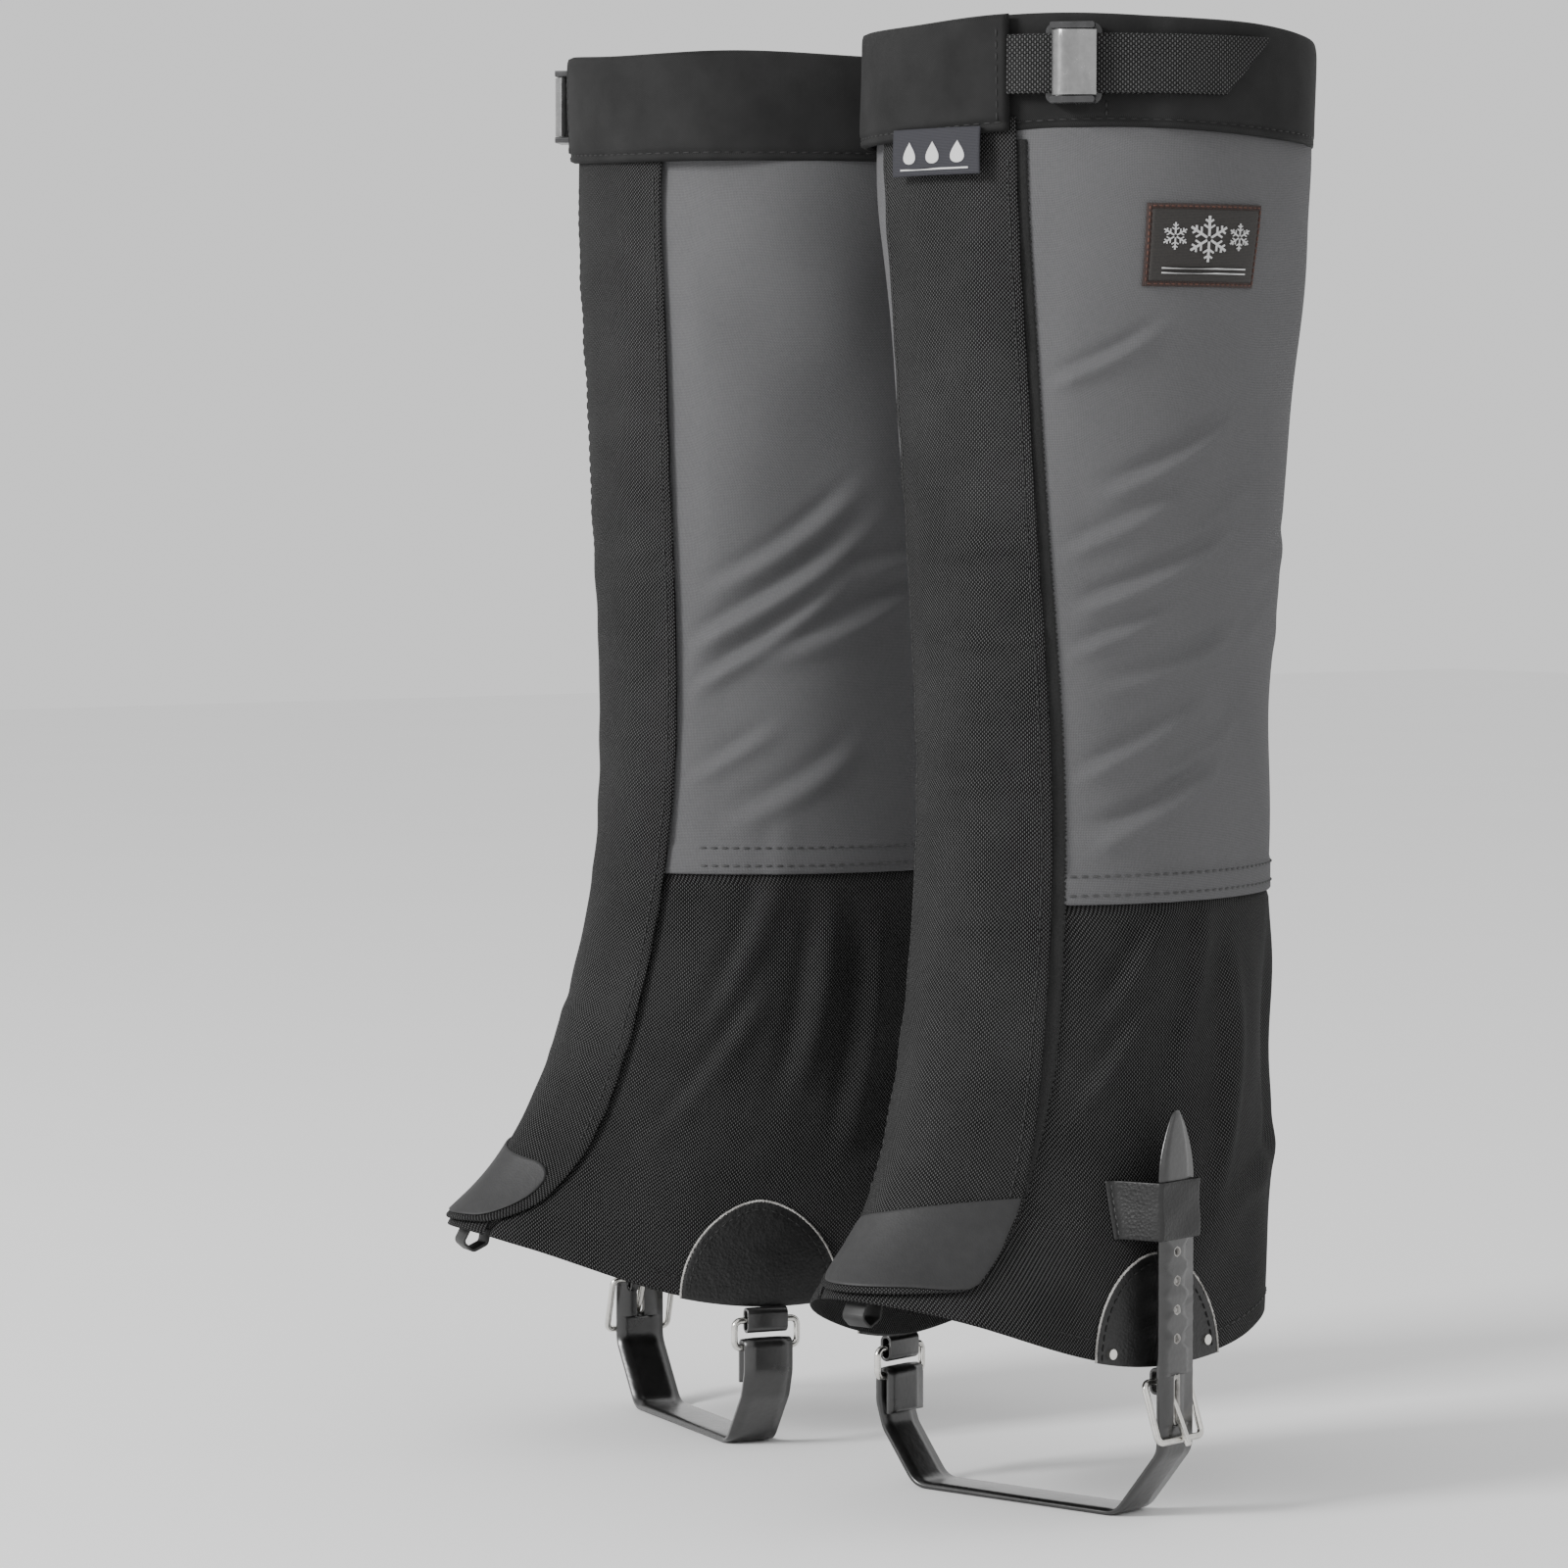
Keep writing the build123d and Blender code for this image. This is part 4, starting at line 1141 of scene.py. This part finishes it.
STRAP_MIDDLE = 0.0624
STRAP_HALF, STRAP_THICK = 0.0095, 0.002
STRAP_TIP = 0.141
BAR_OUT = 0.0585
RING_HEIGHT = 0.038
HOLE_RADIUS = 0.0015
HOLE_HEIGHTS = (0.1025, 0.0925, 0.0825, 0.0725, 0.0625)
PRONG_SLOT = 0.0415
PRONG_SLOT_HALF = 0.0058
STRAP_CELL = 0.0012


def rounded_route(corners, radius, step):
    """Evenly spaced points along straight runs joined by arcs of one radius, in the x-z plane."""
    corners = [np.array(c, float) for c in corners]
    route = [corners[0]]
    for before, corner, after in zip(corners, corners[1:], corners[2:]):
        back = (before - corner) / np.linalg.norm(before - corner)
        onward = (after - corner) / np.linalg.norm(after - corner)
        half_angle = math.acos(float(np.clip(np.dot(back, onward), -1, 1))) / 2
        reach = radius / math.tan(half_angle)
        reach = min(reach, 0.48 * np.linalg.norm(before - corner), 0.48 * np.linalg.norm(after - corner))
        start, end = corner + back * reach, corner + onward * reach
        for share in np.linspace(0, 1, 16):
            route.append(start * (1 - share) ** 2 + corner * 2 * share * (1 - share) + end * share ** 2)
    route.append(corners[-1])
    route = np.array(route)
    length = np.concatenate([[0], np.cumsum(np.linalg.norm(np.diff(route, axis=0), axis=1))])
    even = np.linspace(0, length[-1], int(length[-1] / step))
    return even, np.stack([np.interp(even, length, route[:, k]) for k in (0, 1)], axis=1)


def strap_route():
    """From the tip down past the buckle, under the boot and up round the medial ring's bar."""
    bar = (-BAR_OUT, RING_HEIGHT)
    corners = [
        (STRAP_MIDDLE, STRAP_TIP), (STRAP_MIDDLE, 0.024), (0.044, 0.001), (-0.044, 0.001),
        (bar[0] + 0.0004, 0.020), (bar[0] - 0.0024, 0.029), (bar[0] - 0.0024, bar[1] + 0.0025),
        (bar[0] + 0.0024, bar[1] + 0.0025), (bar[0] + 0.0024, 0.0250),
    ]
    return rounded_route(corners, 0.009, 0.0002)


ROUTE_LENGTH, ROUTE = strap_route()
ROUTE_WAY = np.gradient(ROUTE, ROUTE_LENGTH, axis=0)
ROUTE_WAY /= np.linalg.norm(ROUTE_WAY, axis=1)[:, None]


def on_strap(along, across, growth):
    """A point of the strap: how far from the tip, how far across, and how far off its middle."""
    x = np.interp(along, ROUTE_LENGTH, ROUTE[:, 0])
    z = np.interp(along, ROUTE_LENGTH, ROUTE[:, 1])
    way_x = np.interp(along, ROUTE_LENGTH, ROUTE_WAY[:, 0])
    way_z = np.interp(along, ROUTE_LENGTH, ROUTE_WAY[:, 1])
    return np.stack([x - way_z * growth, STRAP_Y + across, z + way_x * growth], axis=-1)


def strap_half_width(along):
    """Half the strap's width, drawn in to its pointed tip."""
    tip = np.clip(along / 0.024, 0, 1)
    return STRAP_HALF * (0.12 + 0.88 * np.sin(tip * math.pi / 2) ** 0.85)


def strap_grid(cells):
    """Rows of the strap's top skin, five points across, with a ring of points in each hole's cell."""
    points, quads, hole_edges = [], [], []

    def row_of(along):
        half = strap_half_width(along)
        start = len(points)
        points.extend((along, half * share) for share in (-1, -0.5, 0, 0.5, 1))
        return [start + i for i in range(5)]

    above = row_of(0.0)
    for start, end, hole in cells:
        if hole is None:
            below = row_of(end)
            quads += [(above[i], below[i], below[i + 1], above[i + 1]) for i in range(4)]
            above = below
            continue
        middle = (start + end) / 2
        side_rows = [row_of(start + (end - start) * share) for share in (0.25, 0.5, 0.75)]
        below = row_of(end)
        left = [row[0] for row in side_rows]
        right = [row[4] for row in side_rows]
        border = above + right + below[::-1] + left[::-1]
        rings = [border]
        for widening in (1.25, 1.0):
            ring = []
            for corner in border:
                along, across = points[corner]
                turn = math.atan2(across, along - middle)
                slot_half, slot_radius = hole
                reach = slot_radius * math.cos(turn) + math.copysign(slot_half, math.cos(turn))
                ring.append(len(points))
                points.append((middle + reach * widening, slot_radius * math.sin(turn) * widening))
            rings.append(ring)
        for outer, inner in zip(rings, rings[1:]):
            for i in range(len(border)):
                following = (i + 1) % len(border)
                quads.append((outer[i], inner[i], inner[following], outer[following]))
        hole_edges.append((rings[1], rings[2]))
        above = below
    return points, quads, hole_edges


def strap_cells():
    """Cells along the strap: short plain ones, and one round each hole."""
    total = ROUTE_LENGTH[-1]
    holes = [(STRAP_TIP - height, 0.004, (0.0, HOLE_RADIUS)) for height in HOLE_HEIGHTS]
    holes.append((STRAP_TIP - PRONG_SLOT, 0.0085, (PRONG_SLOT_HALF, HOLE_RADIUS)))
    cells, at = [], 0.0
    for middle, half, hole in holes:
        stop = middle - half
        count = max(1, round((stop - at) / STRAP_CELL))
        edges = np.linspace(at, stop, count + 1)
        cells += [(a, b, None) for a, b in zip(edges, edges[1:])]
        cells.append((stop, middle + half, hole))
        at = middle + half
    edges = np.linspace(at, total, round((total - at) / STRAP_CELL) + 1)
    cells += [(a, b, None) for a, b in zip(edges, edges[1:])]
    return cells


def instep_strap(side):
    """One strap with two skins, rounded edges and punched holes."""
    flat, quads, hole_edges = strap_grid(strap_cells())
    flat = np.array(flat)
    count = len(flat)
    used = {i for quad in quads for i in quad}
    half_width = strap_half_width(flat[:, 0])
    at_edge = np.abs(np.abs(flat[:, 1]) - half_width) < 1e-6
    at_tip = flat[:, 0] < 1e-6
    at_end = flat[:, 0] > ROUTE_LENGTH[-1] - 1e-6
    thin = np.where(at_edge | at_tip | at_end, 0.72, 1.0)
    creases = 0.00012 * np.exp(-((flat[:, 0] - 0.075) / 0.03) ** 2) * np.sin(flat[:, 0] * 2100)
    outer = on_strap(flat[:, 0], flat[:, 1], STRAP_THICK / 2 * thin + creases)
    inner = on_strap(flat[:, 0], flat[:, 1], -STRAP_THICK / 2 * thin)
    points = np.concatenate([outer, inner])
    faces = list(quads)
    faces += [tuple(count + i for i in quad[::-1]) for quad in quads]
    edge_use = {}
    for quad in quads:
        for a, b in zip(quad, quad[1:] + quad[:1]):
            edge_use[(a, b)] = edge_use.get((a, b), 0) + 1
    walls = [(a, b) for a, b in edge_use if (b, a) not in edge_use]
    hole_points = {i for _, ring in hole_edges for i in ring}
    # Pale faces: each hole's wall is its pale cut edge, and the ring of top skin round each hole is a painted
    # glint.
    pale = []
    for a, b in walls:
        faces.append((b, a, count + a, count + b))
        if a in hole_points:
            pale.append(len(faces) - 1)
    rim_points = hole_points | {i for ring, _ in hole_edges for i in ring}
    for index, quad in enumerate(quads):
        if all(i in rim_points for i in quad):
            pale.append(index)
    lengths = np.concatenate([flat[:, ::-1], flat[:, ::-1]])
    keep = sorted(used)
    renumber = {}
    for new, old in enumerate(keep):
        renumber[old] = new
        renumber[count + old] = new + len(keep)
    chosen = keep + [count + old for old in keep]
    faces = [tuple(renumber[i] for i in face) for face in faces]
    piece = new_piece(f"{side}_instep_strap_leather", points[chosen], faces, side, lengths[chosen])
    replaced = (f"{side}_strap_tail", f"{side}_instep_strap")
    finish_piece(piece, None, "strap_leather", STRAP_LEATHER, replaced)
    piece.data.materials.append(CUT_EDGE_AND_GLINT)
    for index in pale:
        piece.data.polygons[index].material_index = 1
    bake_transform(piece)


# ---------------------------------------------------------------- moulded and metal pieces
def refined(node, body, slot, material, rounding, angle=32):
    """A CAD piece as a new object with rounded edges and smooth curved faces."""
    source = frame["nodes"][node]
    mesh = source.data.copy()
    work = bmesh.new()
    work.from_mesh(mesh)
    bmesh.ops.remove_doubles(work, verts=work.verts, dist=0.00002)
    bmesh.ops.dissolve_limit(work, angle_limit=math.radians(1.5), verts=work.verts, edges=work.edges)
    work.to_mesh(mesh)
    work.free()
    mesh.materials.clear()
    piece = bpy.data.objects.new(f"{node}_finished", mesh)
    bpy.context.scene.collection.objects.link(piece)
    mesh.polygons.foreach_set("use_smooth", [True] * len(mesh.polygons))
    if rounding:
        bevel = piece.modifiers.new("rounded", "BEVEL")
        bevel.width = rounding
        bevel.segments = 3
        bevel.limit_method = "ANGLE"
        bevel.angle_limit = math.radians(angle)
        bevel.harden_normals = True
    else:
        mesh.set_sharp_from_angle(angle=math.radians(angle))
    return finish_piece(piece, body, slot, material, (node,))


def hardware(side):
    """The plastic, nickel and small leather parts, each on the body it moves with."""
    gaiter, stirrup = f"{side}_gaiter", f"{side}_stirrup"
    refined(f"{side}_cam_frame", gaiter, "buckle_plastic", BUCKLE_PLASTIC, 0.0003)
    refined(f"{side}_cam_lever", f"{side}_cam_lever", "buckle_plastic", LEVER_PLASTIC, 0.0003)
    refined(f"{side}_buckle_frame", stirrup, "nickel_steel", NICKEL, 0)
    refined(f"{side}_medial_ring", stirrup, "nickel_steel", NICKEL, 0)
    refined(f"{side}_buckle_prong", f"{side}_prong", "nickel_steel", NICKEL, 0.0005)
    refined(f"{side}_patch_rivets", gaiter, "nickel_steel", NICKEL, 0)
    refined(f"{side}_buckle_loops", gaiter, "strap_leather", STRAP_LEATHER, 0.0003)
    refined(f"{side}_medial_loop", gaiter, "strap_leather", STRAP_LEATHER, 0.0003)
    refined(f"{side}_lace_hook", gaiter, "hook_painted", HOOK_ENAMEL, 0.00025)


for leg_side in SIDES:
    upper_panel(leg_side)
    lower_panel(leg_side)
    collar(leg_side)
    collar_strap(leg_side)
    buckle_anchor(leg_side)
    flap(leg_side)
    tape(leg_side, "loop_tape", inner=0.0002, outer=0.0017, shift_low=-0.024, shift_high=0.003,
         replaced=(f"{leg_side}_loop_tape",), bends=False)
    tape(leg_side, "hook_tape", inner=0.0017, outer=0.0021, shift_low=-0.024, shift_high=-0.001,
         replaced=(f"{leg_side}_hook_tape", f"{leg_side}_toe_hook_tape"), bends=True)
    toe_patch(leg_side)
    if leg_side == "left":
        front_label(leg_side)
    side_label(leg_side)
    half_moon(leg_side, 1, "lateral")
    half_moon(leg_side, -1, "medial")
    keeper(leg_side)
    instep_strap(leg_side)
    hardware(leg_side)


# ---------------------------------------------------------------- floor, light and camera
FLOOR_HALF = 6.0
WORLD_STRENGTH = 0.95


def floor():
    mesh = bpy.data.meshes.new("floor")
    corners = [(x * FLOOR_HALF, y * FLOOR_HALF, 0) for x, y in ((-1, -1), (1, -1), (1, 1), (-1, 1))]
    mesh.from_pydata(corners, [], [(0, 1, 2, 3)])
    piece = bpy.data.objects.new("floor", mesh)
    bpy.context.scene.collection.objects.link(piece)
    material, nodes, links, shader = new_material("pale_floor")
    tone = noise(nodes, links, 3, 3)
    colour = two_colours(nodes, links, tone, grey(0.90), grey(0.93))
    links.new(colour, shader.inputs["Base Color"])
    shader.inputs["Roughness"].default_value = 0.9
    piece.data.materials.append(material)


def softbox(name, at, towards, size, power):
    light = bpy.data.lights.new(name, "AREA")
    light.shape = "RECTANGLE"
    light.size, light.size_y = size
    light.energy = power
    lamp = bpy.data.objects.new(name, light)
    lamp.location = at
    lamp.rotation_euler = (Vector(towards) - Vector(at)).to_track_quat("-Z", "Y").to_euler()
    bpy.context.scene.collection.objects.link(lamp)


def studio():
    world = bpy.data.worlds.new("studio")
    world.use_nodes = True
    background = world.node_tree.nodes["Background"]
    background.inputs["Color"].default_value = (1, 1, 1, 1)
    background.inputs["Strength"].default_value = WORLD_STRENGTH
    bpy.context.scene.world = world
    softbox("key", (-0.3, -3.0, 1.7), (0, 0, 0.25), (0.9, 0.9), 120)
    softbox("fill", (2.6, -0.6, 1.2), (0, 0, 0.25), (1.8, 1.8), 6)


VIEW_TURN = math.radians(53)
VIEW_DISTANCE = 2.07
VIEW_HEIGHT = 0.358
VIEW_SHIFT = -0.055
VIEW_DROP = math.radians(3.12)
LENS_MM, SENSOR_MM = 130.4, 36


def camera():
    lens = bpy.data.cameras.new("camera")
    lens.lens = LENS_MM
    lens.sensor_width = SENSOR_MM
    eye = bpy.data.objects.new("camera", lens)
    towards = Vector((-math.sin(VIEW_TURN), math.cos(VIEW_TURN), 0))
    right = Vector((math.cos(VIEW_TURN), math.sin(VIEW_TURN), 0))
    eye.location = right * VIEW_SHIFT - towards * VIEW_DISTANCE + Vector((0, 0, VIEW_HEIGHT))
    look = towards - Vector((0, 0, math.tan(VIEW_DROP)))
    eye.rotation_euler = look.to_track_quat("-Z", "Y").to_euler()
    bpy.context.scene.collection.objects.link(eye)
    bpy.context.scene.camera = eye


floor()
studio()
camera()
